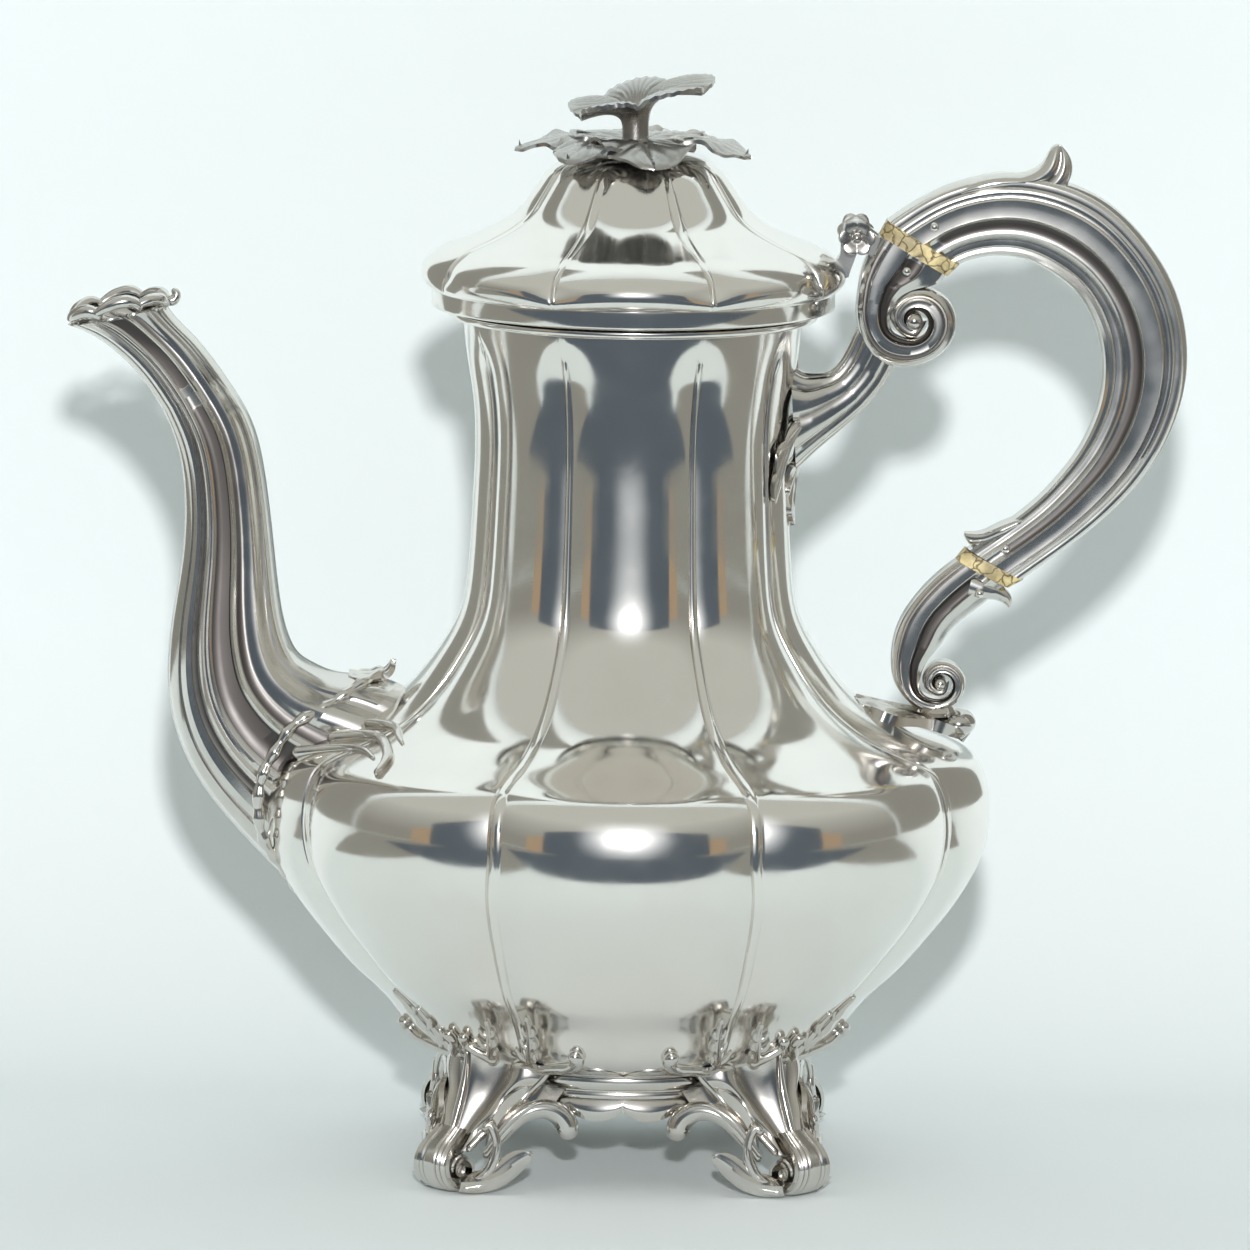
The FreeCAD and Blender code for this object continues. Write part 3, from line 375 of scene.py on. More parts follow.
def silver(name, base, oxide, oxide_start, oxide_full, roughness, wobble, stain, haze=0.6):
    """Silver with polishing scratches, faint hand-raised undulation, tarnish stains and oxide in its recesses."""
    material, tree, bsdf, node = shader(name)
    place = node("ShaderNodeTexCoord").outputs["Object"]
    stains = node("ShaderNodeTexNoise", {"Vector": place}, Scale=38.0, Detail=5.0, Roughness=0.6)
    stained = remapped(node, stains.outputs["Fac"], 0.46, 0.74, to_max=stain)
    recess = node("ShaderNodeAttribute", attribute_name="recess")
    deep = remapped(node, recess.outputs["Fac"], oxide_start, oxide_full)
    warm = node("ShaderNodeMix", {0: stained}, data_type="RGBA")
    warm.inputs[6].default_value = (*base, 1)
    warm.inputs[7].default_value = (0.50, 0.40, 0.30, 1)
    dark = node("ShaderNodeMix", {0: deep, 6: warm.outputs[2]}, data_type="RGBA")
    dark.inputs[7].default_value = (*oxide, 1)
    tree.links.new(dark.outputs[2], bsdf.inputs["Base Color"])
    bsdf.inputs["Metallic"].default_value = 1.0
    bsdf.inputs["Coat Weight"].default_value = haze
    bsdf.inputs["Coat Roughness"].default_value = 0.3
    rubbed = node("ShaderNodeTexNoise", {"Vector": place}, Scale=160.0, Detail=6.0)
    dull = remapped(node, rubbed.outputs["Fac"], 0.3, 0.75, roughness, roughness * 2.2)
    duller = node("ShaderNodeMath", {0: deep}, operation="MULTIPLY")
    duller.inputs[1].default_value = 0.3
    total = node("ShaderNodeMath", {0: dull, 1: duller.outputs[0]}, operation="ADD")
    tree.links.new(total.outputs[0], bsdf.inputs["Roughness"])
    waves = node("ShaderNodeTexNoise", {"Vector": place}, Scale=55.0, Detail=1.0)
    raised = node("ShaderNodeBump", {"Height": waves.outputs["Fac"]}, Strength=wobble, Distance=0.0004)
    scratch = node("ShaderNodeTexNoise", {"Vector": place}, Scale=2600.0, Detail=3.0)
    fine = node("ShaderNodeBump", {"Height": scratch.outputs["Fac"], "Normal": raised.outputs[0]},
                Strength=0.05, Distance=0.00006)
    tree.links.new(fine.outputs[0], bsdf.inputs["Normal"])
    return material


def bone(name, colour, crack):
    """Old bone: warm cream with brown drying cracks and a soft grain."""
    material, tree, bsdf, node = shader(name)
    place = node("ShaderNodeTexCoord").outputs["Object"]
    bent = node("ShaderNodeTexNoise", {"Vector": place}, Scale=260.0, Detail=4.0)
    warped = node("ShaderNodeVectorMath", {0: bent.outputs["Color"], 2: place}, operation="MULTIPLY_ADD")
    warped.inputs[1].default_value = (0.004, 0.004, 0.004)
    cells = node("ShaderNodeTexVoronoi", {"Vector": warped.outputs[0]}, feature="DISTANCE_TO_EDGE", Scale=330.0)
    line = remapped(node, cells.outputs["Distance"], 0.0, 0.09, 1.0, 0.0)
    mottle = remapped(node, bent.outputs["Fac"], 0.38, 0.60)
    patch = node("ShaderNodeMix", {0: mottle}, data_type="RGBA")
    patch.inputs[6].default_value = (*(c * 0.62 for c in colour), 1)
    patch.inputs[7].default_value = (*(min(1, c * 1.3) for c in colour), 1)
    tinted = node("ShaderNodeMix", {0: line, 6: patch.outputs[2]}, data_type="RGBA")
    tinted.inputs[7].default_value = (*crack, 1)
    tree.links.new(tinted.outputs[2], bsdf.inputs["Base Color"])
    bsdf.inputs["Roughness"].default_value = 0.38
    bsdf.inputs["Subsurface Weight"].default_value = 0.15
    bsdf.inputs["Subsurface Radius"].default_value = (0.002, 0.001, 0.0006)
    groove = node("ShaderNodeBump", {"Height": line}, Strength=0.4, Distance=0.0002, invert=True)
    tree.links.new(groove.outputs[0], bsdf.inputs["Normal"])
    return material


def paper(name, colour):
    """Matt paper with the faintest tooth."""
    material, tree, bsdf, node = shader(name)
    place = node("ShaderNodeTexCoord").outputs["Object"]
    tooth = node("ShaderNodeTexNoise", {"Vector": place}, Scale=900.0, Detail=2.0)
    bump = node("ShaderNodeBump", {"Height": tooth.outputs["Fac"]}, Strength=0.02, Distance=0.0001)
    bsdf.inputs["Base Color"].default_value = (*colour, 1)
    bsdf.inputs["Roughness"].default_value = 0.9
    bsdf.inputs["Specular IOR Level"].default_value = 0.1
    tree.links.new(bump.outputs[0], bsdf.inputs["Normal"])
    return material, tree, bsdf, node


# Brightness, depths in mm where the oxide starts and is full, dullness as a share of the polish, wobble and stain.
SILVERS = {
    "polished_silver": (1.0, 0.05, 0.5, 1.0, 0.05, 0.10),
    "handle_silver": (0.82, -0.005, 0.14, 1.3, 0.06, 0.35),
    "cast_silver": (0.74, -0.01, 0.14, 1.2, 0.12, 0.45),
    "leaf_silver": (0.52, -0.03, 0.12, 2.6, 0.2, 0.3),
}


def finish(kind):
    """The shared finish of that kind, made when it is first asked for."""
    name = f"pot_{kind}"
    if name in bpy.data.materials:
        return bpy.data.materials[name]
    look = bpy.context.scene.pot_finish
    if kind in SILVERS:
        bright, start, full, dull, wobble, stain = SILVERS[kind]
        metal = [c * bright for c in look.silver]
        return silver(name, metal, look.oxide, start, full, look.polish * dull, wobble, stain)
    if kind == "insulator_bone":
        return bone(name, look.bone, look.crack)
    raise KeyError(kind)


# ---------------------------------------------------------------- body, collar and foot ring


def panel_columns(wide, rib_angle, rib_steps=8, field_steps=20):
    """Angles round the pot and, for each, its share across its panel and across its bead (or None).

    wide is the half angle of the four panels on the pot's axes, rib_angle half the bead's own angle.
    """
    rib = np.linspace(-1, 1, rib_steps + 1)[:-1]
    field = (1 - np.cos(math.pi * np.arange(field_steps) / field_steps)) / 2
    angles, shares, beads = [], [], []
    for k in range(PANELS):
        half = wide if k % 2 == 0 else math.pi / 4 - wide
        centre = k * math.pi / 4
        start, end = centre - half, centre + half
        angles += [start + rib_angle * b for b in rib]
        beads += list(rib)
        shares += [1.0] * rib_steps
        run = start + rib_angle + (end - start - 2 * rib_angle) * field
        angles += list(run)
        beads += [1.0] * field_steps
        shares += list(np.abs(run - centre) / half)
    return np.array(angles), np.array(shares), np.array(beads)


def panelled(profile, wide, rib, depth, rise, roll):
    """A panelled shell: profile (radius, height), and per level the half angle of the axis panels in degrees,
    half the bead's width, the panels' depth as a share of the radius, and the bead's rise."""
    rows = []
    for (radius, height), w, r, d, b in zip(profile, wide, rib, depth, rise):
        a, share, bead = panel_columns(math.radians(w), r / max(radius, r * 2))
        rr = radius * (1 - d * share**roll) + b * np.sqrt(np.clip(1 - bead**2, 0, 1))
        rows.append(np.stack([rr * np.cos(a), rr * np.sin(a), np.full_like(a, height)], -1))
    return dressed(np.array(rows))


BODY_OUTLINE = [(0.471, 0), (0.558, 0.016), (0.675, 0.078), (0.745, 0.110), (0.839, 0.163), (0.905, 0.205),
                (0.954, 0.244), (0.984, 0.276), (1.0, 0.325), (0.998, 0.353), (0.984, 0.383), (0.960, 0.404),
                (0.911, 0.419), (0.793, 0.439), (0.682, 0.466), (0.596, 0.501), (0.509, 0.558), (0.465, 0.600),
                (0.444, 0.659), (0.4325, 0.761), (0.436, 0.896), (0.452, 0.945), (0.465, 1.0)]


# How high up the body (share), the half angle of the panels on the pot's axes; how deep the panels fall away.
PANEL_HALF = ((0, 0.1, 0.2, 0.33, 0.5, 0.62, 1), (29, 26, 23.6, 21.8, 22.4, 24.0, 24.5))
PANEL_DEPTH = 0.062
PANEL_ROLL = 2.5


@functools.cache
def body_profile(count):
    """(radius, height) up the crests of the body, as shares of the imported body's own box."""
    lo, hi = low("body_shell"), high("body_shell")
    shares = np.array(BODY_OUTLINE)
    return fair(np.stack([shares[:, 0] * hi[0], lo[2] + shares[:, 1] * (hi[2] - lo[2])], -1), count)


def body_radius(height):
    """The crest radius of the body at a height."""
    p = body_profile(240)
    return np.interp(height, p[:, 1], p[:, 0])


def build_body(sizes):
    wall = sizes.wall / MM
    profile = body_profile(170)
    z = profile[:, 1]
    share = (z - z[0]) / (z[-1] - z[0])
    wide = np.interp(share, *PANEL_HALF)
    rib = np.interp(share, (0, 0.33, 0.44, 0.55, 0.7, 1), (0.8, 1.5, 1.5, 1.1, 0.9, 0.7))
    depth = PANEL_DEPTH * (1 - eased(share, 0.93, 1.0)) * eased(share, -0.05, 0.06)
    rise = sizes.bead_rise / MM * (1 - eased(share, 0.95, 0.975)) * np.interp(share, (0, 0.5, 1), (1, 0.9, 0.8))
    bm = panelled(profile, wide, rib, depth, rise, PANEL_ROLL)
    bottom = [e for e in bm.edges if e.is_boundary and all(v.co.z < z[0] + 0.1 for v in e.verts)]
    bmesh.ops.holes_fill(bm, edges=bottom, sides=0)
    finish_piece("body", bm, "pot", ["body_shell"], finish("polished_silver"), wall=wall, sharp=30)


def build_collar(sizes):
    lo, hi = low("neck_collar"), high("neck_collar")
    r, h = hi[0], hi[2] - lo[2]
    neck = sizes.neck_radius / MM
    bead = arc((r - 1.2, lo[2] + 0.26 * h), 1.15, -90, 90, 9)
    cove = arc((r - 0.4, lo[2] + 0.60 * h), 1.25, 235, 120, 9)
    profile = [(neck - 1.6, lo[2]), (neck + 0.4, lo[2])] + bead + cove
    profile += [(r, hi[2] - 0.5), (r, hi[2] - 0.1), (r - 0.3, hi[2]), (neck - 0.2, hi[2]), (neck - 1.0, hi[2] - 0.6),
                (neck - 1.6, lo[2])]
    finish_piece("collar", turned(profile, 160), "pot", ["neck_collar"],
                 finish("polished_silver"), sharp=30)


def scalloped(place, columns=400, rows=8, thick=0.8, lobes=20):
    """A scalloped apron round the foot ring; place gives (radius, height) for how far down a scallop a point is."""
    a = ring_angles(columns)
    lobe = 0.25 + 0.75 * np.abs(np.sin(lobes * a / 2)) ** 0.55
    reach = np.linspace(0, 1, rows)[:, None] * lobe
    r, z = place(reach)
    r = r + 0.5 * np.sin(math.pi * np.linspace(0, 1, rows))[:, None] * lobe
    return thickened(np.stack([r * np.cos(a), r * np.sin(a), z], -1), thick, closed=True)


def build_foot_ring(sizes):
    lo, hi = low("foot_ring"), high("foot_ring")
    r, z, top = hi[0], lo[2], hi[2]
    outer = [(r - 2.0, z)] + arc((r - 1.1, z + 0.5), 0.5, -80, 80, 6) + arc((r - 2.6, z + 1.75), 1.9, -32, 32, 6)
    outer += arc((r - 0.75, z + 3.0), 0.4, -90, 90, 6) + arc((r - 3.4, z + 4.75), 3.3, -27, 27, 9)
    outer += arc((r - 0.8, top - 0.35), 0.4, -90, 90, 6)
    inner = [(r - 3.6, top), (r - 4.0, z + 4.0), (r - 4.0, z)]
    hanging = scalloped(lambda reach: (r - 1.0 + 0.3 * reach, z + 0.4 - 3.9 * reach))
    standing = scalloped(lambda reach: (body_radius(top + 2.5 * reach) + 0.5, top - 0.1 + 2.5 * reach))
    finish_piece("foot_ring_moulding", gathered([turned(outer + inner + outer[:1], 180), hanging, standing]), "pot",
                 ["foot_ring"], finish("cast_silver"), sharp=35, merge=False)


# ---------------------------------------------------------------- feet


def on_body(azimuth, height, lift=0.5):
    """A point just outside the body's sheet, seen from a foot: azimuth is from that foot, in degrees."""
    lo, hi = low("body_shell"), high("body_shell")
    wide = np.interp((height - lo[2]) / (hi[2] - lo[2]), *PANEL_HALF)
    off = abs(azimuth)
    share = off / (45 - wide) if off < 45 - wide else (45 - off) / wide
    r = body_radius(height) * (1 - PANEL_DEPTH * share**PANEL_ROLL) + lift
    a = math.radians(azimuth)
    return (r * math.cos(a), r * math.sin(a), height)


# The toe's scroll: its eye (out, up) and, by turn in degrees, its outer and inner radius.
TOE_EYE = (55.0, 5.4)
TOE_TURNS = [(78, 7.4, 5.4), (58, 6.6, 4.7), (0, 5.3, 3.6), (-90, 4.9, 3.3), (-180, 4.4, 2.9), (-270, 3.6, 2.2),
             (-360, 2.8, 1.5), (-450, 2.0, 0.9), (-520, 1.4, 0.5)]
# The leg from the toe up to the body: out, up, half width and how far its flanks turn back.
LEG_SPINE = [(54.2, 9.4, 4.8, 0.8), (52.0, 13.0, 6.4, 2.0), (49.6, 17.6, 9.8, 4.6), (47.6, 22.4, 13.4, 7.4),
             (46.6, 28.0, 16.8, 9.8)]
LEG_TIP = 0.85  # where across the leg its side leaves have their tips
# The rolled edge down each flank, from the toe round to the body, and the sheet's edge under the foot ring.
ARCH = [(50.5, 7.6, 8.0), (47.2, 9.8, 13.0), (43.6, 12.2, 17.2), (39.8, 14.8, 18.6), (36.8, 16.8, 17.4),
        (35.2, 17.9, 14.2), (35.4, 17.7, 11.7)]
UNDER_RING = [(49.5, 7.5, 14), (46.8, 10.5, 21), (42.5, 12.4, 23.5), (38.4, 13.4, 23.5), (34.6, 16.4, 22.5)]


# The stems of a crest's two leaves up the body: degrees from the foot's axis, height.
CREST_STEMS = [[(5.5, 28.0), (8.2, 31.5), (10.0, 35.0), (11.6, 39.5)],
               [(16.5, 27.4), (19.4, 32.0), (21.2, 36.5), (22.2, 41.5)]]


def toe_section():
    """The toe's scrolled band: a broad smooth front with fine ridges towards its sides."""
    shares = np.linspace(-1, 1, 49)
    outer = [(1 - 0.13 * (1 - math.cos(8 * math.pi * s)) * (abs(s) > 0.25) - 0.45 * abs(s) ** 4, s) for s in shares]
    return outer + [(0.0, s) for s in np.linspace(1, -1, 9)]


def foot_parts():
    """The parts of one foot as if it stood on the x axis."""
    rails = [(54.2, 14.6, 52.0, 14.0)] + spiral(TOE_EYE, TOE_TURNS, 0)
    parts = [dressed(capped(between_rails(rails, toe_section(), [4.2, 4.8, 5.2, 5.4, 5.6, 5.8, 5.6], 110))),
             drum((TOE_EYE[0], 0, TOE_EYE[1]), 1.4, 10.6, 0.4)]

    spine = fair(LEG_SPINE, 44)
    s = np.linspace(-1, 1, 73)[None]
    t = np.linspace(0, 1, 44)[:, None]
    fold = 1.5 * np.cos(2 * math.pi * s / LEG_TIP + 1.4 * s * (1 - t)) * (0.2 + 0.8 * t)
    tips = 3.6 * np.abs(np.cos(math.pi * s / LEG_TIP)) ** 1.3 * t**2
    ruffle = 1 + 0.07 * np.sin(6 * math.pi * t) * s**2
    leg = np.stack([spine[:, :1] - spine[:, 3:] * s**2 + fold, spine[:, 2:3] * s * ruffle, spine[:, 1:2] + tips], -1)
    parts.append(thickened(leg, 1.5))
    parts.append(rod(leg[::7, 36] + (0.5, 0, 0), [0.5, 0.8, 1.0, 1.0, 0.7, 0.3]))

    arch = fair(ARCH, 60, 3)
    under = fair(UNDER_RING, 42, 3)
    drop = np.linspace(0, 1, 8)[:, None, None]
    flank = [rod(leg[::7, -1], [0.8, 1.0, 1.1, 1.1, 0.9, 0.5]),
             thickened(arch[None, :42] * drop + under[None] * (1 - drop), 1.2),
             rod(ARCH, [0.9, 1.3, 1.7, 1.9, 2.2, 2.6, 2.9], 60, 20),
             rod([(51.6, 8.6, 9.4), (48.4, 11.0, 14.6), (44.4, 13.8, 18.8), (40.2, 16.4, 20.0), (37.0, 18.4, 18.6)],
                 [0.4, 0.7, 0.8, 0.7, 0.4]),
             leaf([(56.0, 5.6, 2.8), (52.5, 8.2, 3.0), (49.0, 11.4, 4.9), (46.4, 14.0, 7.8), (44.8, 16.0, 9.4)], 2.2,
                  (0.35, 0.9, 0.25), lobes=1, cup=0.5, thick=1.4, base=0.35),
             rod([(56.0, 6.2, 1.7), (52.5, 8.9, 2.3), (48.8, 12.0, 5.6), (46.2, 14.8, 9.2), (44.4, 16.6, 9.6)],
                 [0.9, 1.0, 0.9, 0.8, 0.5]),
             rod([(54.5, 7.4, 2.8), (51.4, 9.4, 5.0), (49.8, 10.6, 9.2), (49.6, 10.2, 13.2), (50.6, 9.0, 15.6),
                  (51.8, 8.4, 14.2)], [0.7, 1.2, 1.2, 1.0, 1.1, 0.8])]
    for line in CREST_STEMS:
        stem = fair(line, 21)
        flank.append(rod([on_body(a, z, 0.4) for a, z in stem[::4]], [1.5, 1.2, 0.9, 0.5], 30))
        for k, size in ((3, 1.0), (8, 0.85), (13, 0.65)):
            for side in (-1, 1):
                (a, z), reach = stem[k], 2.6 * size
                leaflet = [(a, z, 0.5), (a + 0.8 * side * reach, z + 0.5 * reach, 0.6),
                           (a + 0.9 * side * reach, z + 1.3 * reach, 0.5)]
                flank.append(rod([on_body(*place) for place in leaflet], [0.9, 0.9 * size, 0.3], 14, 10))
    flank.append(rod([on_body(a, z, 0.9) for a, z in ((15, 27.4), (22, 27.9), (28, 28.7), (32.4, 30.0), (33.2, 32.0),
                                                      (31.0, 32.6))], [1.3, 1.5, 1.3, 1.2, 1.4, 1.7]))
    flank.append(rod([on_body(a, z, 1.2) for a, z in ((8, 28.6), (4.6, 31), (2.2, 33), (3.2, 35.2))],
                     [1.2, 1.2, 1.0, 1.4]))
    return parts + flank + [mirrored(part) for part in flank]


def build_feet(sizes):
    foot = gathered(foot_parts())
    for node, azimuth in (("foot_front_left", -135), ("foot_front_right", -45), ("foot_back_right", 45),
                          ("foot_back_left", 135)):
        finish_piece(node.replace("foot", "scroll_foot"), swung(foot, azimuth), "pot", [node],
                     finish("cast_silver"), sharp=50, reach=6, merge=False)
    foot.free()


# ---------------------------------------------------------------- lid

LID_OUTLINE = [(0.954, 0), (0.984, 0.045), (1, 0.122), (0.985, 0.19), (0.945, 0.252), (0.891, 0.308),
               (0.806, 0.362), (0.702, 0.428), (0.618, 0.495), (0.542, 0.588), (0.495, 0.688), (0.448, 0.795),
               (0.405, 0.88), (0.33, 0.95), (0.22, 0.99), (0.10, 1.0)]


def build_lid(sizes):
    lo, hi = low("lid_shell"), high("lid_shell")
    shares = np.array(LID_OUTLINE)
    profile = fair(np.stack([shares[:, 0] * hi[0], lo[2] + shares[:, 1] * (hi[2] - lo[2])], -1), 84)
    share = (profile[:, 1] - lo[2]) / (hi[2] - lo[2])
    wide = np.full(len(profile), 22.9)
    rib = np.interp(share, (0, 0.2, 0.5, 0.8, 1), (0.5, 0.7, 1.5, 1.1, 0.5)) * np.minimum(1, profile[:, 0] / 10)
    depth = 0.062 * eased(share, -0.02, 0.16) * (1 - eased(share, 0.82, 0.99))
    rise = 0.85 * eased(share, 0.0, 0.2) * (1 - eased(share, 0.84, 0.97))
    bm = panelled(profile, wide, rib, depth, rise, roll=2.2)
    crown = [e for e in bm.edges if e.is_boundary and all(v.co.z > hi[2] - 0.5 for v in e.verts)]
    bmesh.ops.holes_fill(bm, edges=crown, sides=0)
    finish_piece("lid", bm, "lid", ["lid_shell"], finish("polished_silver"),
                 wall=sizes.wall / MM, sharp=30)
    lo, hi = low("lid_bezel"), high("lid_bezel")
    r = hi[0]
    profile = [(r, hi[2]), (r, lo[2] + 0.6), (r - 0.25, lo[2] + 0.1), (r - 0.5, lo[2]), (r - 0.9, lo[2] + 0.3),
               (r - 0.9, hi[2]), (r, hi[2])]
    finish_piece("lid_bezel_ring", turned(profile, 128), "lid", ["lid_bezel"],
                 finish("polished_silver"))


# ---------------------------------------------------------------- spout

# Lower edge and upper edge as offsets from the belly's spout side (out, up), and half the width.
SPOUT_RAILS = [(-14.7, -25, -42.7, 17, 14), (-2.7, -14, -30.7, 27.5, 15), (7.7, -3.1, -20.7, 30, 15),
               (14.4, 5.7, -14.7, 30.8, 14.5), (18.9, 14.6, -10.1, 32.8, 13.5), (21.2, 24, -6.9, 35.3, 12.5),
               (21.5, 33, -4.5, 40.8, 11.5), (20.6, 42.5, -3, 48.5, 10.5), (18.7, 55, -1.7, 59.5, 9.3),
               (18.1, 69, 0.1, 73.5, 8.6), (19.9, 81, 3.8, 87.5, 8.2), (23.2, 89.1, 10.1, 97.5, 7.7)]
TIP_RAILS = [(23.0, 88.6, 9.8, 97.2, 7.9), (28.6, 96.6, 15.9, 104.8, 7.5), (34.5, 102.3, 20.2, 109.0, 7.7),
             (40.2, 105.9, 22.4, 111.6, 8.2), (43.7, 107.3, 22.6, 112.0, 8.4)]


def reeds(columns, depth, lobes, spread):
    """A reeded ring: (across share, side share) with broad reeds on its flanks and narrow ones at its edges."""
    a = ring_angles(columns)
    ring = 1 - depth * (1 - np.abs(np.cos(lobes * a + spread * np.sin(2 * a)))) ** 1.4
    return np.stack([0.5 + 0.5 * ring * np.cos(a), ring * np.sin(a)], -1)


# Across the spout from its lower edge to its upper: the share of full width at reeds, grooves and the broad band.
SPOUT_RELIEF = [(0, 1), (0.05, 1), (0.10, 0.93), (0.11, 0.86), (0.125, 0.91), (0.165, 0.985), (0.21, 0.92),
                (0.225, 0.855), (0.26, 0.845), (0.275, 0.92), (0.30, 0.965), (0.325, 0.905), (0.34, 0.905),
                (0.36, 0.96), (0.385, 0.925), (0.40, 0.895), (0.47, 0.88), (0.545, 0.895), (0.565, 0.945),
                (0.58, 0.965), (0.60, 0.92), (0.62, 0.885), (0.66, 0.865), (0.70, 0.88), (0.72, 0.92), (0.78, 0.985),
                (0.83, 0.94), (0.85, 0.86), (0.88, 0.85), (0.90, 0.92), (0.95, 1), (1, 1)]


def spout_ring(flat=0.0):
    """The spout's moulded section as (across share, side share); flat melts its mouldings away."""
    half = [(u, (1 - abs(2 * u - 1) ** 2.3) ** 0.5 * (w + (1 - w) * flat)) for u, w in SPOUT_RELIEF]
    return np.array(whole_section(half))


def spout_table(rails, count, inset=0.0):
    """The moulded tube between the spout's two edges."""
    lo, hi = low("body_shell"), high("body_shell")
    belly = np.array((lo[0], lo[2] + 0.325 * (hi[2] - lo[2])))
    r = fair(rails, count, 4)
    lower = np.stack([belly[0] - r[:, 0], 0 * r[:, 0], belly[1] + r[:, 1]], -1)[:, None]
    upper = np.stack([belly[0] - r[:, 2], 0 * r[:, 0], belly[1] + r[:, 3]], -1)[:, None]
    ring = spout_ring(0.6 if inset else 0.0)[None]
    across, side = ring[..., :1], ring[..., 1:]
    width = np.linalg.norm(upper - lower, axis=-1, keepdims=True)
    across = 0.5 + (across - 0.5) * (1 - 2 * inset / width)
    return lower + (upper - lower) * across + FAR_SIDE * side * (r[:, 4] - inset)[:, None, None]


# The beaded border of the spout's root and the lobes of its lip, near side up.
ROOT_BORDER = [(-53.8, 0.0, 109.3), (-59.5, 6.0, 107.4), (-65.6, 9.5, 103.6), (-70.2, 12.0, 101.4),
               (-74.4, 13.6, 98.6), (-77.2, 14.6, 94.6), (-79.6, 15.1, 90.6), (-81.2, 15.3, 85.6), (-81.4, 14.8, 79.0),
               (-80.0, 13.4, 73.0), (-77.0, 10.4, 68.0), (-72.4, 4.0, 60.0)]
LIP_LOBES = [[(-124.3, 2.4, 187.4), (-122.6, 6.2, 189.2), (-119.0, 8.2, 189.9), (-117.0, 7.8, 188.4)],
             [(-118.6, 8.4, 189.4), (-115.0, 9.4, 191.6), (-110.2, 8.8, 192.2), (-108.2, 7.8, 190.6)],
             [(-109.6, 8.2, 191.2), (-106.6, 6.8, 192.5), (-103.8, 4.2, 192.2), (-102.9, 2.2, 190.8)]]


def build_spout(sizes):
    tube = dressed(capped(spout_table(SPOUT_RAILS, 130)))
    knots = [0.9, 1.5] * 14 + [0.9]
    border = rod(ROOT_BORDER, knots, 120)
    fronds = [swung(rod([on_body(*place) for place in line], radii, 50), -135) for line, radii in (
        (((-32, 96.5, 2.4), (-25, 98.2, 1.2), (-17, 98.4, 1.0), (-11, 97.7, 0.8), (-5.5, 96.3, 0.8),
          (-2.6, 94.6, 1.6)), [1.7, 1.5, 1.3, 1.2, 1.4, 0.9]),
        (((-32, 99.8, 2.0), (-23, 100.2, 1.2), (-15, 99.8, 0.8), (-10, 99.0, 0.5)), [1.4, 1.2, 0.9, 0.4]),
        (((-32, 93.6, 2.4), (-23, 96.0, 1.2), (-15, 96.6, 0.8), (-10, 96.2, 0.5)), [1.4, 1.2, 0.9, 0.4]))]
    tip = leaf([(-62.0, 0, 109.4), (-57.0, 0, 109.2), (-53.6, 0, 110.6), (-52.8, 0, 112.4)], 4.2, (0.2, 0, 1), lobes=2,
               thick=1.3, base=0.8)
    parts = [tube, border, mirrored(border), tip] + fronds + [mirrored(frond) for frond in fronds]
    finish_piece("spout", gathered(parts), "pot", ["spout_tube"], finish("handle_silver"),
                 sharp=38, reach=5, merge=False)

    outer, inner = spout_table(TIP_RAILS, 46), spout_table(TIP_RAILS, 46, inset=1.1)
    middle = outer.mean(1, keepdims=True)
    flare = (0.05 * np.linspace(0, 1, 46) ** 3)[:, None, None]
    outer, inner = outer + (outer - middle) * flare, inner + (inner - middle) * flare
    rim = outer[-1:] * 0.5 + inner[-1:] * 0.5 + UP * 0.5
    shell = dressed(capped(np.concatenate([outer, rim, inner[::-1]])))
    lobes = [rod(path, [0.7, 1.3, 1.5, 0.8], 30) for path in LIP_LOBES]
    step = rod([(-103.2, 0.0, 192.0), (-101.6, 0, 191.8), (-101.0, 0, 193.4), (-102.0, 0, 194.0)], [1.3, 1.2, 1.0, 0.7])
    finish_piece("spout_lip", gathered([shell, step] + lobes + [mirrored(lobe) for lobe in lobes]), "pot",
                 ["spout_tip"], finish("handle_silver"), sharp=38, reach=5, merge=False)


# ---------------------------------------------------------------- handle

# From the inner edge to the outer: bead, channel, ridge, channel, flat band, groove, ridge and outer bead.
HANDLE_SECTION = [(0, 0), (0.012, 0.3), (0.04, 0.5), (0.08, 0.58), (0.12, 0.565), (0.135, 0.62), (0.15, 0.68),
                  (0.175, 0.70), (0.21, 0.69), (0.25, 0.715), (0.28, 0.775), (0.295, 0.80), (0.31, 0.785),
                  (0.34, 0.77), (0.40, 0.785), (0.455, 0.83), (0.482, 0.90), (0.495, 0.96), (0.51, 0.955),
                  (0.60, 0.945), (0.68, 0.955), (0.695, 0.96), (0.71, 0.90), (0.725, 0.84), (0.745, 0.825),
                  (0.765, 0.85), (0.79, 0.865), (0.815, 0.84), (0.83, 0.77), (0.845, 0.735), (0.87, 0.75),
                  (0.91, 0.735), (0.95, 0.62), (0.985, 0.36), (1, 0)]

# From the inner edge to the outer: sunk field, ridge, hollow, flat band, groove, ridge and outer bead.
SOCKET_SECTION = [(0, 0), (0.02, 0.45), (0.06, 0.60), (0.14, 0.64), (0.24, 0.68), (0.285, 0.74), (0.305, 0.75),
                  (0.325, 0.70), (0.40, 0.65), (0.50, 0.70), (0.555, 0.84), (0.575, 0.98), (0.60, 1.0),
                  (0.69, 0.975), (0.78, 1.0), (0.80, 0.98), (0.815, 0.84), (0.84, 0.74), (0.87, 0.735),
                  (0.885, 0.79), (0.90, 0.735), (0.93, 0.66), (0.965, 0.62), (0.99, 0.42), (1, 0)]

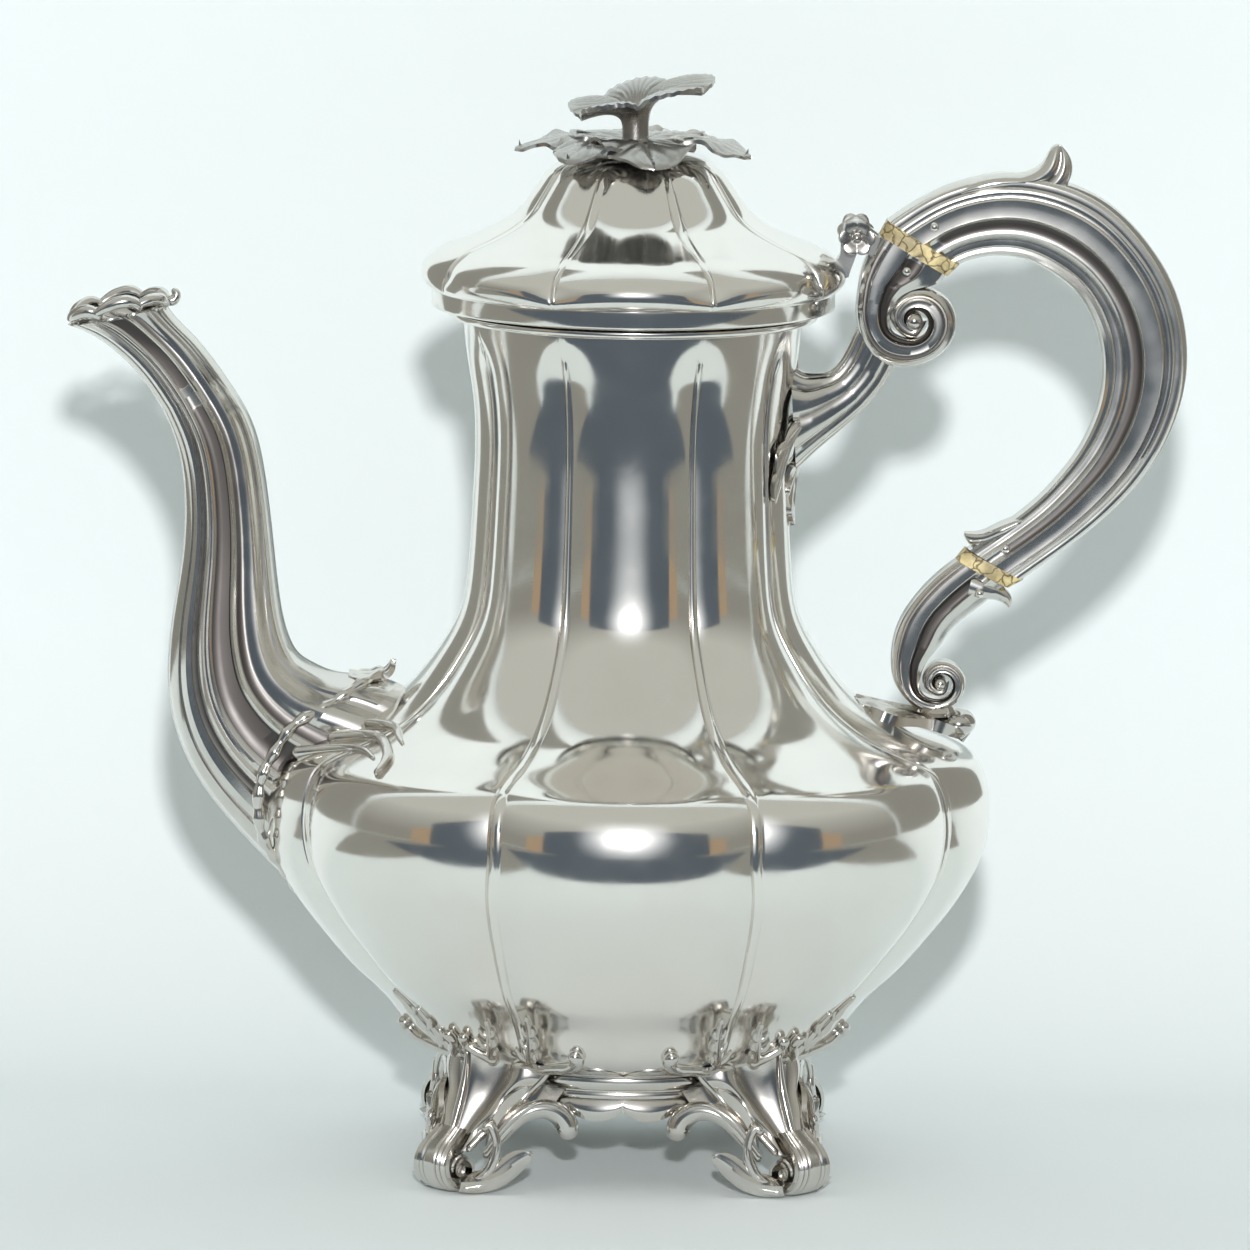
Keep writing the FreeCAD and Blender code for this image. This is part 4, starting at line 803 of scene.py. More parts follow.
HANDLE_RAILS = [(55.7, 211.9, 71.9, 202.1), (64.9, 217.9, 74.4, 203.1), (73.4, 221.2, 78.2, 203.9),
                (84.6, 222.6, 84.2, 203.8), (95.7, 220.5, 89.3, 202.1), (104.5, 216.1, 93.7, 199.5),
                (113.4, 207.3, 98.4, 195.4), (119.7, 196.7, 102.0, 188.9), (122.6, 182.5, 103.7, 181.0),
                (121.8, 173.6, 103.6, 175.4), (118.8, 164.4, 102.3, 169.4), (113.0, 154.7, 99.0, 162.0),
                (106.5, 147.5, 95.6, 157.0), (99.0, 141.0, 89.6, 150.2), (92.5, 136.1, 82.2, 144.2),
                (87.1, 132.1, 74.7, 138.9)]


def lobe_section(count, crease=0.0):
    """The section of a plump leaf; crease is the depth of the fold down its middle."""
    half = [(0.5 - 0.5 * math.cos(t), abs(math.sin(t)) ** 0.7 * (1 - crease * math.exp(-((t - 1.57) / 0.25) ** 2)))
            for t in np.linspace(0, math.pi, count)]
    return whole_section(half)


def whole_section(half):
    """Both flanks of a section given from the inner edge to the outer, as one closed ring."""
    return list(half) + [(u, -v) for u, v in half[-2:0:-1]]


def build_handle(sizes):
    half = high("handle_loop")[1]
    bm = dressed(capped(between_rails(HANDLE_RAILS, whole_section(HANDLE_SECTION), [half] * 2, 150)))
    rails = [(90.4, 146.2, 89.6, 147.4), (82.6, 141.6, 81.2, 144.4), (77.6, 139.6, 76.8, 142.6),
             (74.9, 140.0, 74.3, 142.5), (73.9, 141.7, 74.1, 142.5)]
    curl = dressed(capped(between_rails(rails, lobe_section(15), [1.5, 3.8, 3.8, 2.8, 1.2], 40)))
    finish_piece("handle", gathered([bm, curl]), "pot", ["handle_loop"], finish("handle_silver"),
                 sharp=30, reach=5, merge=False)
    rails = [(66.0, 217.6, 68.0, 213.0), (74.0, 221.1, 77.0, 215.4), (81.0, 222.6, 86.0, 216.6),
             (86.6, 223.0, 93.0, 218.0), (89.6, 224.8, 95.8, 221.0), (90.9, 227.0, 96.3, 224.6),
             (92.0, 228.6, 95.2, 227.2), (93.0, 229.0, 94.0, 228.6)]
    bm = dressed(capped(between_rails(rails, lobe_section(23, 0.25), [3.0, 4.4, 5.0, 5.0, 4.6, 3.8, 2.6, 1.2], 70)))
    finish_piece("thumb_rest_leaf", bm, "pot", ["thumb_leaf"], finish("handle_silver"))


# ---------------------------------------------------------------- sockets


def spiral(centre, radii, start):
    """Rail pairs round a volute; radii holds (turn in degrees, outer radius, inner radius)."""
    made = []
    for turn, outer, inner in radii:
        a = math.radians(start + turn)
        c, s = math.cos(a), math.sin(a)
        made.append((centre[0] + outer * c, centre[1] + outer * s, centre[0] + inner * c, centre[1] + inner * s))
    return made


def build_sockets(sizes):
    build_upper_socket(sizes)
    build_lower_socket()
    build_shoulder_leaf()


def build_upper_socket(sizes):
    half = high("upper_socket")[1]
    eye = (62.0, 189.7)
    rails = [(54.0, 208.7, 69.1, 200.0), (51.4, 204.4, 67.0, 197.7), (49.9, 199.6, 63.0, 196.6),
             (49.2, 194.6, 58.6, 194.4)]
    rails += spiral(eye, [(0, 12.8, 5.3), (45, 12.2, 4.7), (90, 10.4, 4.1), (135, 9.8, 3.6), (180, 9.4, 3.1),
                          (225, 8.4, 2.6), (270, 7.0, 2.2), (315, 6.1, 1.9), (360, 5.3, 1.6), (450, 4.1, 1.2),
                          (540, 3.0, 0.8)], 180)
    scroll = dressed(capped(between_rails(rails, whole_section(SOCKET_SECTION),
                                          [half, half, half * 0.92, half * 0.84, half * 0.76], 170,
                                          [1, 1.1, 2.0, 2.8, 3, 3, 3, 3])))
    strut = [(58.1, 179.8, 49.4, 188.0), (55.5, 174.9, 46.6, 181.4), (52.0, 170.4, 44.0, 178.2),
             (46.5, 165.0, 40.6, 177.4), (40.5, 159.6, 37.2, 178.0), (36.5, 155.5, 34.8, 180.0)]
    ring = reeds(96, 0.14, lobes=5, spread=0.6)
    arm = dressed(capped(between_rails(strut, ring, [3.4, 3.0, 3.2, 4.4, 6.0, 7.0], 60)))
    neck = sizes.neck_radius / MM - 2.6
    up = leaf([(neck + 2.6, 0, 172), (neck + 1.4, 0, 178), (neck + 1.6, 0, 184.5)], 4.2, (1, 0, 0), lobes=3, thick=1.0)
    down = leaf([(neck + 5, 0, 164), (neck + 2.2, 0, 157), (neck + 1.2, 0, 150), (neck + 1.6, 0, 143.4)], 5.2,
                (1, 0, 0), lobes=4, thick=1.0)
    flank = leaf([(neck + 4, 4, 168), (neck + 0.6, 8.5, 163), (neck - 1.6, 11.5, 156), (neck - 3.0, 13.5, 150)], 3.6,
                 (0.95, 0.3, 0), lobes=3, thick=0.9)
    bosses = [ball((eye[0], s * half * 0.72, eye[1]), 1.9) for s in (-1, 1)]
    finish_piece("upper_scroll_socket", gathered([scroll, arm, up, down, flank, mirrored(flank)] + bosses), "pot",
                 ["upper_socket"], finish("handle_silver"), sharp=30, reach=5, merge=False)


def build_lower_socket():
    half = high("lower_socket")[1]
    eye = (69.2, 108.7)
    rails = [(72.3, 136.6, 83.2, 130.3), (67.5, 132.7, 78.4, 126.4), (62.9, 127.5, 74.6, 123.4),
             (60.0, 122.8, 71.4, 120.4), (58.4, 117.4, 68.8, 116.6), (58.2, 112.6, 66.2, 113.4)]
    rails += spiral(eye, [(0, 9.2, 4.6), (45, 7.4, 3.9), (90, 6.0, 3.4), (135, 5.8, 3.0), (180, 5.6, 2.6),
                          (225, 5.3, 2.2), (270, 4.9, 1.9), (360, 3.9, 1.3), (450, 3.0, 0.9), (540, 2.2, 0.6)], 195)
    scroll = dressed(capped(between_rails(rails, whole_section(SOCKET_SECTION),
                                          [half, half, half * 0.9, half * 0.8], 130, [1, 1, 1.3, 2.4, 3, 3])))
    rails = [(76.0, 134.0, 74.6, 127.4), (80.0, 132.0, 77.6, 127.2), (83.2, 130.0, 80.6, 127.4),
             (84.8, 127.6, 83.0, 126.6), (84.6, 125.8, 84.0, 125.6)]
    curl = dressed(capped(between_rails(rails, lobe_section(15), [3.6, 3.6, 3.2, 2.4, 1.0], 40)))
    bosses = [ball((eye[0], s * half * 0.7, eye[1]), 1.4) for s in (-1, 1)]
    finish_piece("lower_scroll_socket", gathered([scroll, curl] + bosses), "pot", ["lower_socket"],
                 finish("handle_silver"), sharp=30, reach=5, merge=False)


def build_shoulder_leaf():
    spine = [(50.5, 0, 105.0), (58, 0, 103.4), (66, 0, 102.0), (72, 0, 100.4), (76.2, 0, 97.2)]
    mount = leaf(spine, 8.0, (0.2, 0, 1), lobes=2, cup=0.12, thick=2.6, base=0.6)
    bud = ball((73.4, 0, 99.6), 3.6, (1.1, 1.4, 0.85))
    seat = turned([(0, 0), (4.0, 0), (4.6, 1.0), (3.6, 2.2), (3.2, 3.4), (0, 3.4)], 40)
    bmesh.ops.translate(seat, vec=(68.4, 0, 101.2), verts=seat.verts)
    finish_piece("shoulder_leaf", gathered([mount, bud, seat]), "pot", ["lower_mount"],
                 finish("cast_silver"), merge=False)


def build_insulators(sizes):
    for name, node, rails in (
            ("upper_bone_disc", "upper_insulator", [(55.7, 211.9, 71.9, 202.1), (54.0, 208.7, 69.3, 199.6)]),
            ("lower_bone_disc", "lower_insulator", [(74.1, 138.9, 87.3, 132.1), (72.2, 136.5, 84.0, 130.2)])):
        a = np.linspace(0, math.pi, 19)
        half = [(0.5 - 0.5 * math.cos(t), 0.98 * abs(math.sin(t)) ** 0.45) for t in a]
        bm = dressed(capped(between_rails(rails, whole_section(half), [high(node)[1]] * 2, 4)))
        finish_piece(name, bm, "pot", [node], finish("insulator_bone"))


def build_pins(sizes):
    for node in ("upper_handle_pin", "upper_socket_pin", "lower_handle_pin", "lower_socket_pin"):
        lo, hi = low(node), high(node)
        middle, r = (lo + hi) / 2, (hi[0] - lo[0]) / 2
        parts = [drum(middle, r, hi[1] - lo[1] - 0.6, 0.2)]
        parts += [ball((middle[0], s * (hi[1] - 0.5), middle[2]), r * 1.25, (1, 0.7, 1)) for s in (-1, 1)]
        finish_piece(node + "_rivet", gathered(parts), "pot", [node], finish("polished_silver"),
                     merge=False)


# ---------------------------------------------------------------- finial and hinge


LEAF_THICK = 0.8
PETAL_THICK = 0.9


def calyx_leaf(azimuth, reach, width, droop, phase):
    """One broad veined leaf with a waved edge, lying over the crown."""
    z = high("lid_shell")[2]
    path = fair([(2.0, 0, z + 2.2), (0.35 * reach, 0, z + 3.2), (0.7 * reach, 0, z + 2.8), (reach, 0, z + 1.4 - droop)],
                48, 3)
    u = np.linspace(0, 1, 48)[:, None]
    s = np.linspace(-1, 1, 33)[None]
    outline = width * np.sin(math.pi * (0.08 + 0.92 * u) ** 0.9) ** 0.5
    outline = outline * (1 + 0.10 * np.sin(2 * math.pi * 2.6 * u + phase + 1.2 * np.sign(s)) * (1 - u**4))
    wave = 1.2 * np.abs(s) ** 2.2 * np.sin(2 * math.pi * 2.3 * u + phase + 1.5 * np.sign(s)) * np.sin(math.pi * u)
    vein = 0.22 * np.cos(2 * math.pi * (7 * u - 2.4 * np.abs(s))) * np.sin(math.pi * u) * np.sqrt(np.abs(s))
    rise = wave + vein - 0.9 * np.exp(-((s / 0.08) ** 2)) * 0.5 - 0.5 * s**2
    table = path[:, None] + np.stack([0 * outline * s, outline * s, rise], -1)
    return swung(thickened(table, LEAF_THICK), azimuth)


def build_finial(sizes):
    leaves = [(-174, 26.0, 8.4, 0.6, 0.3), (-128, 24.0, 9.6, 1.6, 1.4), (-80, 23.4, 11.0, 2.2, 2.2),
              (-14, 25.6, 9.4, 1.4, 0.9), (48, 23.0, 9.6, 0.2, 2.7), (112, 23.0, 10.0, 0.4, 1.8)]
    finish_piece("calyx_leaves", gathered([calyx_leaf(*values) for values in leaves]), "lid", ["leaf_calyx"],
                 finish("leaf_silver"), reach=3, sharp=60, merge=False)

    lo, hi = low("finial_flower"), high("finial_flower")
    a = ring_angles(200)
    t = np.linspace(0, 1, 60)[:, None]
    petal = np.abs(np.cos(2.5 * (a - 0.35)))
    side = np.cos(a)
    reach = (12.6 + 2.6 * np.abs(side) + 2.6 * np.maximum(side, 0)) * (0.84 + 0.16 * petal**0.5)
    rim = lo[2] + 12.4 + 2.3 * side + 0.9 * np.sin(a) + 0.9 * petal
    r = 2.0 + (reach - 2.0) * t**3.0
    z = lo[2] + 2.0 + (rim - lo[2] - 2.0) * (1 - (1 - t) ** 1.8)
    z = z - 1.6 * t**6 * np.maximum(-side, 0) + 0.14 * np.cos(40 * a) * t - 1.3 * (1 - petal) ** 3 * t**2
    z = np.minimum(z, hi[2])
    trumpet = dressed(np.stack([r * np.cos(a), r * np.sin(a), z], -1))
    inside = [e for e in trumpet.edges if e.is_boundary and all(math.hypot(v.co.x, v.co.y) < 4 for v in e.verts)]
    bmesh.ops.holes_fill(trumpet, edges=inside, sides=0)
    bmesh.ops.recalc_face_normals(trumpet, faces=trumpet.faces[:])
    bmesh.ops.solidify(trumpet, geom=trumpet.faces[:], thickness=PETAL_THICK)
    stem = turned([(0, lo[2]), (3.4, lo[2]), (2.5, lo[2] + 0.9), (2.1, lo[2] + 2.2), (2.3, lo[2] + 3.8),
                   (0, lo[2] + 4.0)], 40)
    finish_piece("trumpet_flower", gathered([trumpet, stem]), "lid", ["finial_flower"],
                 finish("leaf_silver"), reach=3, sharp=60, merge=False)


def build_hinge(sizes):
    pin = (low("hinge_pin") + high("hinge_pin")) / 2
    for node, side in (("hinge_flower_front", -1), ("hinge_flower_back", 1)):
        lo, hi = low(node), high(node)
        start = lo[1] if side > 0 else hi[1]
        depth = (hi[1] - lo[1]) * side
        a = ring_angles(72)
        petal = np.abs(np.cos(3 * a))
        rows = []
        for share, out in ((0.0, 0.0), (0.5, 0.0), (0.9, 0.25), (1.0, 0.55), (0.93, 0.8), (0.7, 0.8), (0.45, 0.55),
                           (0.3, 0.5)):
            r = 4.1 * share * (0.84 + 0.16 * petal)
            y = start + depth * (out + 0.12 * (petal - 0.5) * (share > 0.4))
            rows.append(np.stack([pin[0] + r * np.cos(a), y + 0 * a, pin[2] + r * np.sin(a)], -1))
        parts = [dressed(capped(np.array(rows))), ball((pin[0], start + depth * 0.62, pin[2]), 1.15)]
        finish_piece(node + "_head", gathered(parts), "pot", [node], finish("leaf_silver"),
                     reach=3, sharp=35, merge=False)


# ---------------------------------------------------------------- carried-over nodes


def dress_frame(sizes):
    """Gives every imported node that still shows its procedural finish."""
    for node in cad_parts.values():
        if not node.hide_render:
            for slot in node.material_slots:
                kind = slot.material.name.split(".")[0]
                slot.material = finish(kind if kind in ("polished_silver", "insulator_bone") else "cast_silver")


# ---------------------------------------------------------------- stage


POT_MIDDLE = Vector((0, 0, 0.12))
AIM_SIDE = -0.0009
OPEN_AIR = (0.80, 0.86, 0.85)
PAPER_FRONT, PAPER_TOP = -4.0, 2.2
# How far the tent's front, painted as glowing reflection sheets, stands from the pot, and how far round its opening and
# its flaps reach, in degrees.
TENT_FRONT, OPENING_EDGE, FLAP_EDGE = 1.6, 47, 60
KEY_SIZE = 0.085
# The painted highlight glow round the key light, a glowing disc that only the silver sees: its radius, and how much of
# the way out to the light it hangs.
PAINTED_GLOW_RADIUS, PAINTED_GLOW_SHARE = 0.80, 0.60


def build_stage(stage):
    bpy.context.scene.view_settings.view_transform = "Standard"
    hang_tent(stage)
    lay_paper(stage)
    # Painted reflections for the silver: glowing sheets round the pot.
    stand_reflection_cards(stage)
    hang_key(stage)
    place_camera(stage)


def hang_tent(stage):
    """The tent's light, brighter from its roof than from its sides; the camera sees pale open air."""
    world = bpy.data.worlds.new("studio_tent")
    bpy.context.scene.world = world
    world.use_nodes = True
    nodes, links = world.node_tree.nodes, world.node_tree.links
    tent = nodes["Background"]
    sky = nodes.new("ShaderNodeTexCoord")
    split, climb, blend = (nodes.new(f"ShaderNode{kind}") for kind in ("SeparateXYZ", "MapRange", "Mix"))
    links.new(sky.outputs["Generated"], split.inputs[0])
    links.new(split.outputs["Z"], climb.inputs["Value"])
    climb.inputs["From Min"].default_value, climb.inputs["From Max"].default_value = 0.12, 0.60
    blend.data_type = "RGBA"
    links.new(climb.outputs[0], blend.inputs[0])
    blend.inputs[6].default_value = (*stage.tent_side, 1)
    blend.inputs[7].default_value = (*stage.tent, 1)
    links.new(blend.outputs[2], tent.inputs["Color"])
    fill = nodes.new("ShaderNodeMapRange")
    fill.inputs["To Min"].default_value, fill.inputs["To Max"].default_value = 1.0, stage.fill
    open_air = nodes.new("ShaderNodeBackground")
    open_air.inputs["Color"].default_value = (*OPEN_AIR, 1)
    path, mix = nodes.new("ShaderNodeLightPath"), nodes.new("ShaderNodeMixShader")
    links.new(path.outputs["Is Diffuse Ray"], fill.inputs["Value"])
    links.new(fill.outputs[0], tent.inputs["Strength"])
    links.new(path.outputs["Is Camera Ray"], mix.inputs[0])
    links.new(tent.outputs[0], mix.inputs[1])
    links.new(open_air.outputs[0], mix.inputs[2])
    links.new(mix.outputs[0], nodes["World Output"].inputs["Surface"])


def lay_paper(stage):
    """The paper sweep, clear from behind, and the floor under it."""
    material, tree, bsdf, node = paper("white_paper", stage.paper)
    back = node("ShaderNodeNewGeometry").outputs["Backfacing"]
    clear = node("ShaderNodeBsdfTransparent")
    mixed = node("ShaderNodeMixShader", {0: back, 1: bsdf.outputs[0], 2: clear.outputs[0]})
    tree.links.new(mixed.outputs[0], tree.nodes["Material Output"].inputs["Surface"])
    bend, wall = stage.bend, stage.wall_distance
    profile = [(PAPER_FRONT, 0.0), (wall - bend, 0.0)]
    profile += [(wall - bend + bend * math.sin(a), bend - bend * math.cos(a))
                for a in np.linspace(0, math.pi / 2, 17)[1:]]
    profile += [(wall, PAPER_TOP)]
    bm = bmesh.new()
    line = [bm.verts.new((-stage.sheet_half, y, z)) for y, z in profile]
    edges = [bm.edges.new(pair) for pair in zip(line, line[1:])]
    swept = bmesh.ops.extrude_edge_only(bm, edges=edges)["geom"]
    drawn = [g for g in swept if isinstance(g, bmesh.types.BMVert)]
    bmesh.ops.translate(bm, vec=(2 * stage.sheet_half, 0, 0), verts=drawn)
    for face in bm.faces:
        face.smooth = True
        face.normal_update()
    if bm.faces[:][0].normal.z < 0:
        bmesh.ops.reverse_faces(bm, faces=bm.faces[:])
    stage_sheet("paper_sweep", bm, material)

    ground, *_ = paper("studio_floor", stage.paper)
    bm = bmesh.new()
    bmesh.ops.create_grid(bm, x_segments=1, y_segments=1, size=6.0)
    bmesh.ops.translate(bm, vec=(0, 0, -0.0006), verts=bm.verts)
    stage_sheet("floor", bm, ground)


def stand_reflection_cards(stage):
    """Glowing sheets that only the silver sees, as painted reflections of what lies round the pot: the tent's front,
    the table and the wall.
    """
    inner, outer = (TENT_FRONT * math.tan(math.radians(edge)) for edge in (OPENING_EDGE, FLAP_EDGE))
    wall = stage.wall_distance
    # Painted reflections: the dark opening, the tan flaps, the dark table edge, the tables and the walls glow, and only
    # the silver sees them.
    painted_reflection_card("painted_opening_reflection", pane((-inner, -0.02), (inner, 0.84), -TENT_FRONT, "FRONT"), stage.opening)
    painted_reflection_card("painted_flap_reflection_left", pane((-outer, 0.0), (-inner, 0.62), -TENT_FRONT, "FRONT"), stage.flap)
    painted_reflection_card("painted_flap_reflection_right", pane((inner, 0.0), (outer, 0.62), -TENT_FRONT, "FRONT"), stage.flap)
    painted_reflection_card("dark_table_edge", pane((-1.1, -1.68), (1.1, -0.28), 0.0012, "UP"), stage.opening)
    for side, near, far in (("left", -3.05, -0.35), ("right", 0.35, 3.05)):
        painted_reflection_card(f"table_{side}", pane((near, -3.9), (far, 3.0), 0.0010, "UP"), stage.tent_side)
    for side, near, far in (("left", -1.52, -0.18), ("right", 0.18, 1.52)):
        painted_reflection_card(f"wall_{side}", pane((near, 0.0), (far, 0.7), wall - 0.004, "FRONT"), stage.tent_side)


def hang_key(stage):
    """The small key light and a painted highlight glow round it, which only the silver sees."""
    bm = bmesh.new()
    bmesh.ops.create_circle(bm, cap_ends=True, segments=64, radius=1.0)
    painted_glow_sheet("painted_key_glow", bm, stage.key_place)
    light = bpy.data.lights.new("key", "AREA")
    light.shape, light.size, light.energy = "DISK", KEY_SIZE, stage.key_power
    lamp = link("key_light", light)
    lamp.location = stage.key_place
    lamp.rotation_euler = (POT_MIDDLE - lamp.location).to_track_quat("-Z", "Y").to_euler()


def place_camera(stage):
    target = Vector((AIM_SIDE, 0, stage.aim_height))
    camera = bpy.data.cameras.new("camera")
    camera.lens, camera.sensor_width = stage.lens, 36
    camera.clip_start, camera.clip_end = 0.05, 30
    viewer = link("camera", camera)
    viewer.location = (target.x, -stage.camera_distance, stage.camera_height)
    turn = (target - viewer.location).to_track_quat("-Z", "Y")
    viewer.rotation_mode = "QUATERNION"
    viewer.rotation_quaternion = turn @ Matrix.Rotation(math.radians(stage.roll), 3, "Z").to_quaternion()
    bpy.context.scene.camera = viewer


def stage_sheet(name, bm, material):
    mesh = bpy.data.meshes.new(name)
    bm.to_mesh(mesh)
    bm.free()
    mesh.materials.append(material)
    sheet = link(name, mesh)
    return sheet


def reflected_sheet(name, bm, material):
    """A stage sheet that only the silver sees."""
    sheet = stage_sheet(name, bm, material)
    sheet.visible_camera = sheet.visible_diffuse = sheet.visible_shadow = sheet.visible_transmission = False
    return sheet


def painted_reflection_card(name, bm, colour):
    """An evenly glowing sheet, a painted reflection for the silver."""
    material, tree, _, node = shader(name)
    glow = node("ShaderNodeEmission", Color=(*colour, 1), Strength=1.0)
    tree.links.new(glow.outputs[0], tree.nodes["Material Output"].inputs["Surface"])
    reflected_sheet(name, bm, material)


def painted_glow_sheet(name, bm, place):
    """A glowing disc between the pot and a place, bright at its middle and clear at its rim: a painted highlight glow
    that only the silver sees.
    """
    material, tree, _, node = shader(name)
    out = node("ShaderNodeVectorMath", {0: node("ShaderNodeTexCoord").outputs["Object"]}, operation="LENGTH")
    fall = remapped(node, out.outputs["Value"], 0.0, 1.0, 0.95, 0.0, interpolation_type="SMOOTHERSTEP")
    # Painted highlight: this emission stands in for the soft glare round the key light's highlight.
    glow = node("ShaderNodeEmission", Color=(0.93, 0.97, 1.0, 1), Strength=1.1)
    clear = node("ShaderNodeBsdfTransparent")
    mixed = node("ShaderNodeMixShader", {0: fall, 1: clear.outputs[0], 2: glow.outputs[0]})
    tree.links.new(mixed.outputs[0], tree.nodes["Material Output"].inputs["Surface"])
    sheet = reflected_sheet(name, bm, material)
    sheet.location = POT_MIDDLE.lerp(Vector(place), PAINTED_GLOW_SHARE)
    sheet.scale = (PAINTED_GLOW_RADIUS,) * 3
    sheet.rotation_euler = (POT_MIDDLE - Vector(place)).to_track_quat("Z", "Y").to_euler()


# ---------------------------------------------------------------- settings and operators


def length(name, description, default, **more):
    return bpy.props.FloatProperty(name=name, description=description, default=default, unit="LENGTH",
                                   subtype="DISTANCE", min=0.0, precision=4, **more)


def colour(name, description, default):
    return bpy.props.FloatVectorProperty(name=name, description=description, default=default, subtype="COLOR",
                                         size=3, min=0.0, max=1.0)


class PotSizes(bpy.types.PropertyGroup):
    """Sizes of the sheet and wire that the pot is made from."""

    wall: length("Wall", "Thickness of the raised sheet", 0.0008)
    bead_rise: length("Bead rise", "How far the beads stand up between the panels", 0.0009)
    neck_radius: length("Neck radius", "Radius of the neck just under the collar", 0.0375)


class PotFinish(bpy.types.PropertyGroup):
    """Colours and polish of the finishes."""

    silver: colour("Silver", "Colour of the clean metal", (0.90, 0.875, 0.83))
    oxide: colour("Oxide", "Colour of the oxide left in the recesses", (0.09, 0.08, 0.075))
    bone: colour("Bone", "Colour of the insulators", (0.62, 0.51, 0.27))
    crack: colour("Crack", "Colour of the cracks in the bone", (0.10, 0.06, 0.02))
    polish: bpy.props.FloatProperty(name="Polish", description="Roughness of the polished silver", default=0.07,
                                    min=0.0, max=1.0, subtype="FACTOR")


class PotStage(bpy.types.PropertyGroup):
    """The paper sweep, the tent and the camera."""

    paper: colour("Paper", "Colour of the paper sweep", (0.89, 0.945, 0.96))
    tent: colour("Tent", "Colour of the light tent's roof that the silver reflects", (0.52, 0.53, 0.49))
    tent_side: colour("Tent sides", "Colour of the light tent's sides", (0.27, 0.27, 0.24))
    opening: colour("Opening", "Colour of the tent's front opening", (0.095, 0.118, 0.142))
    flap: colour("Flap", "Colour of the flaps beside the opening", (0.40, 0.30, 0.20))
    wall_distance: length("Wall distance", "From the pot's axis to the upright paper", 0.17)
    sheet_half: length("Sheet half width", "Half the width of the paper sweep", 2.0)
    bend: length("Bend", "Radius of the bend in the paper", 0.10)
    aim_height: length("Aim height", "Height that the camera looks at", 0.1205)
    camera_height: length("Camera height", "Height of the camera", 0.473)
    camera_distance: length("Camera distance", "From the pot's axis to the camera, along the floor", 2.3)
    lens: bpy.props.FloatProperty(name="Lens", description="Focal length in millimetres", default=302.0, min=1.0)
    roll: bpy.props.FloatProperty(name="Roll", description="Lean of the camera in degrees", default=0.75)
    key_place: bpy.props.FloatVectorProperty(name="Key place", description="Where the key light hangs",
                                             default=(0.02, -2.25, 0.76), size=3, unit="LENGTH",
                                             subtype="TRANSLATION")
    fill: bpy.props.FloatProperty(name="Fill", description="Share of the tent's light that falls on the paper",
                                  default=0.80, min=0.0, max=1.0, subtype="FACTOR")
    key_power: bpy.props.FloatProperty(name="Key power", description="Power of the key light in watts", default=33.0,
                                       min=0.0, unit="POWER")


class COFFEEPOT_OT_body(bpy.types.Operator):
    """Raise the eight-panelled body"""

    bl_idname = "coffeepot.body"
    bl_label = "Body"

    def execute(self, context):
        build_body(context.scene.pot_sizes)
        return {"FINISHED"}


class COFFEEPOT_OT_collar(bpy.types.Operator):
    """Turn the moulded collar of the neck"""

    bl_idname = "coffeepot.collar"
    bl_label = "Collar"

    def execute(self, context):
        build_collar(context.scene.pot_sizes)
        return {"FINISHED"}


class COFFEEPOT_OT_foot_ring(bpy.types.Operator):
    """Turn the foot ring and its scalloped aprons"""

    bl_idname = "coffeepot.foot_ring"
    bl_label = "Foot ring"

    def execute(self, context):
        build_foot_ring(context.scene.pot_sizes)
        return {"FINISHED"}


class COFFEEPOT_OT_feet(bpy.types.Operator):
    """Cast the four scroll feet"""

    bl_idname = "coffeepot.feet"
    bl_label = "Feet"

    def execute(self, context):
        build_feet(context.scene.pot_sizes)
        return {"FINISHED"}


class COFFEEPOT_OT_lid(bpy.types.Operator):
    """Raise the panelled lid and its bezel"""

    bl_idname = "coffeepot.lid"
    bl_label = "Lid"

    def execute(self, context):
        build_lid(context.scene.pot_sizes)
        return {"FINISHED"}


class COFFEEPOT_OT_spout(bpy.types.Operator):
    """Draw the reeded spout and its petalled lip"""

    bl_idname = "coffeepot.spout"
    bl_label = "Spout"

    def execute(self, context):
        build_spout(context.scene.pot_sizes)
        return {"FINISHED"}


class COFFEEPOT_OT_handle(bpy.types.Operator):
    """Cast the moulded handle and its thumb leaf"""

    bl_idname = "coffeepot.handle"
    bl_label = "Handle"

    def execute(self, context):
        build_handle(context.scene.pot_sizes)
        return {"FINISHED"}


class COFFEEPOT_OT_sockets(bpy.types.Operator):
    """Cast the two scroll sockets and the shoulder leaf"""

    bl_idname = "coffeepot.sockets"
    bl_label = "Sockets"

    def execute(self, context):
        build_sockets(context.scene.pot_sizes)
        return {"FINISHED"}


class COFFEEPOT_OT_insulators(bpy.types.Operator):
    """Cut the two bone insulators"""

    bl_idname = "coffeepot.insulators"
    bl_label = "Insulators"

    def execute(self, context):
        build_insulators(context.scene.pot_sizes)
        return {"FINISHED"}


class COFFEEPOT_OT_pins(bpy.types.Operator):
    """Set the domed pins of the insulators"""

    bl_idname = "coffeepot.pins"
    bl_label = "Pins"

    def execute(self, context):
        build_pins(context.scene.pot_sizes)
        return {"FINISHED"}


class COFFEEPOT_OT_finial(bpy.types.Operator):
    """Cast the calyx and the trumpet flower"""

    bl_idname = "coffeepot.finial"
    bl_label = "Finial"

    def execute(self, context):
        build_finial(context.scene.pot_sizes)
        return {"FINISHED"}


class COFFEEPOT_OT_hinge(bpy.types.Operator):
    """Cast the flower heads of the hinge pin"""

    bl_idname = "coffeepot.hinge"
    bl_label = "Hinge"

    def execute(self, context):
        build_hinge(context.scene.pot_sizes)
        return {"FINISHED"}


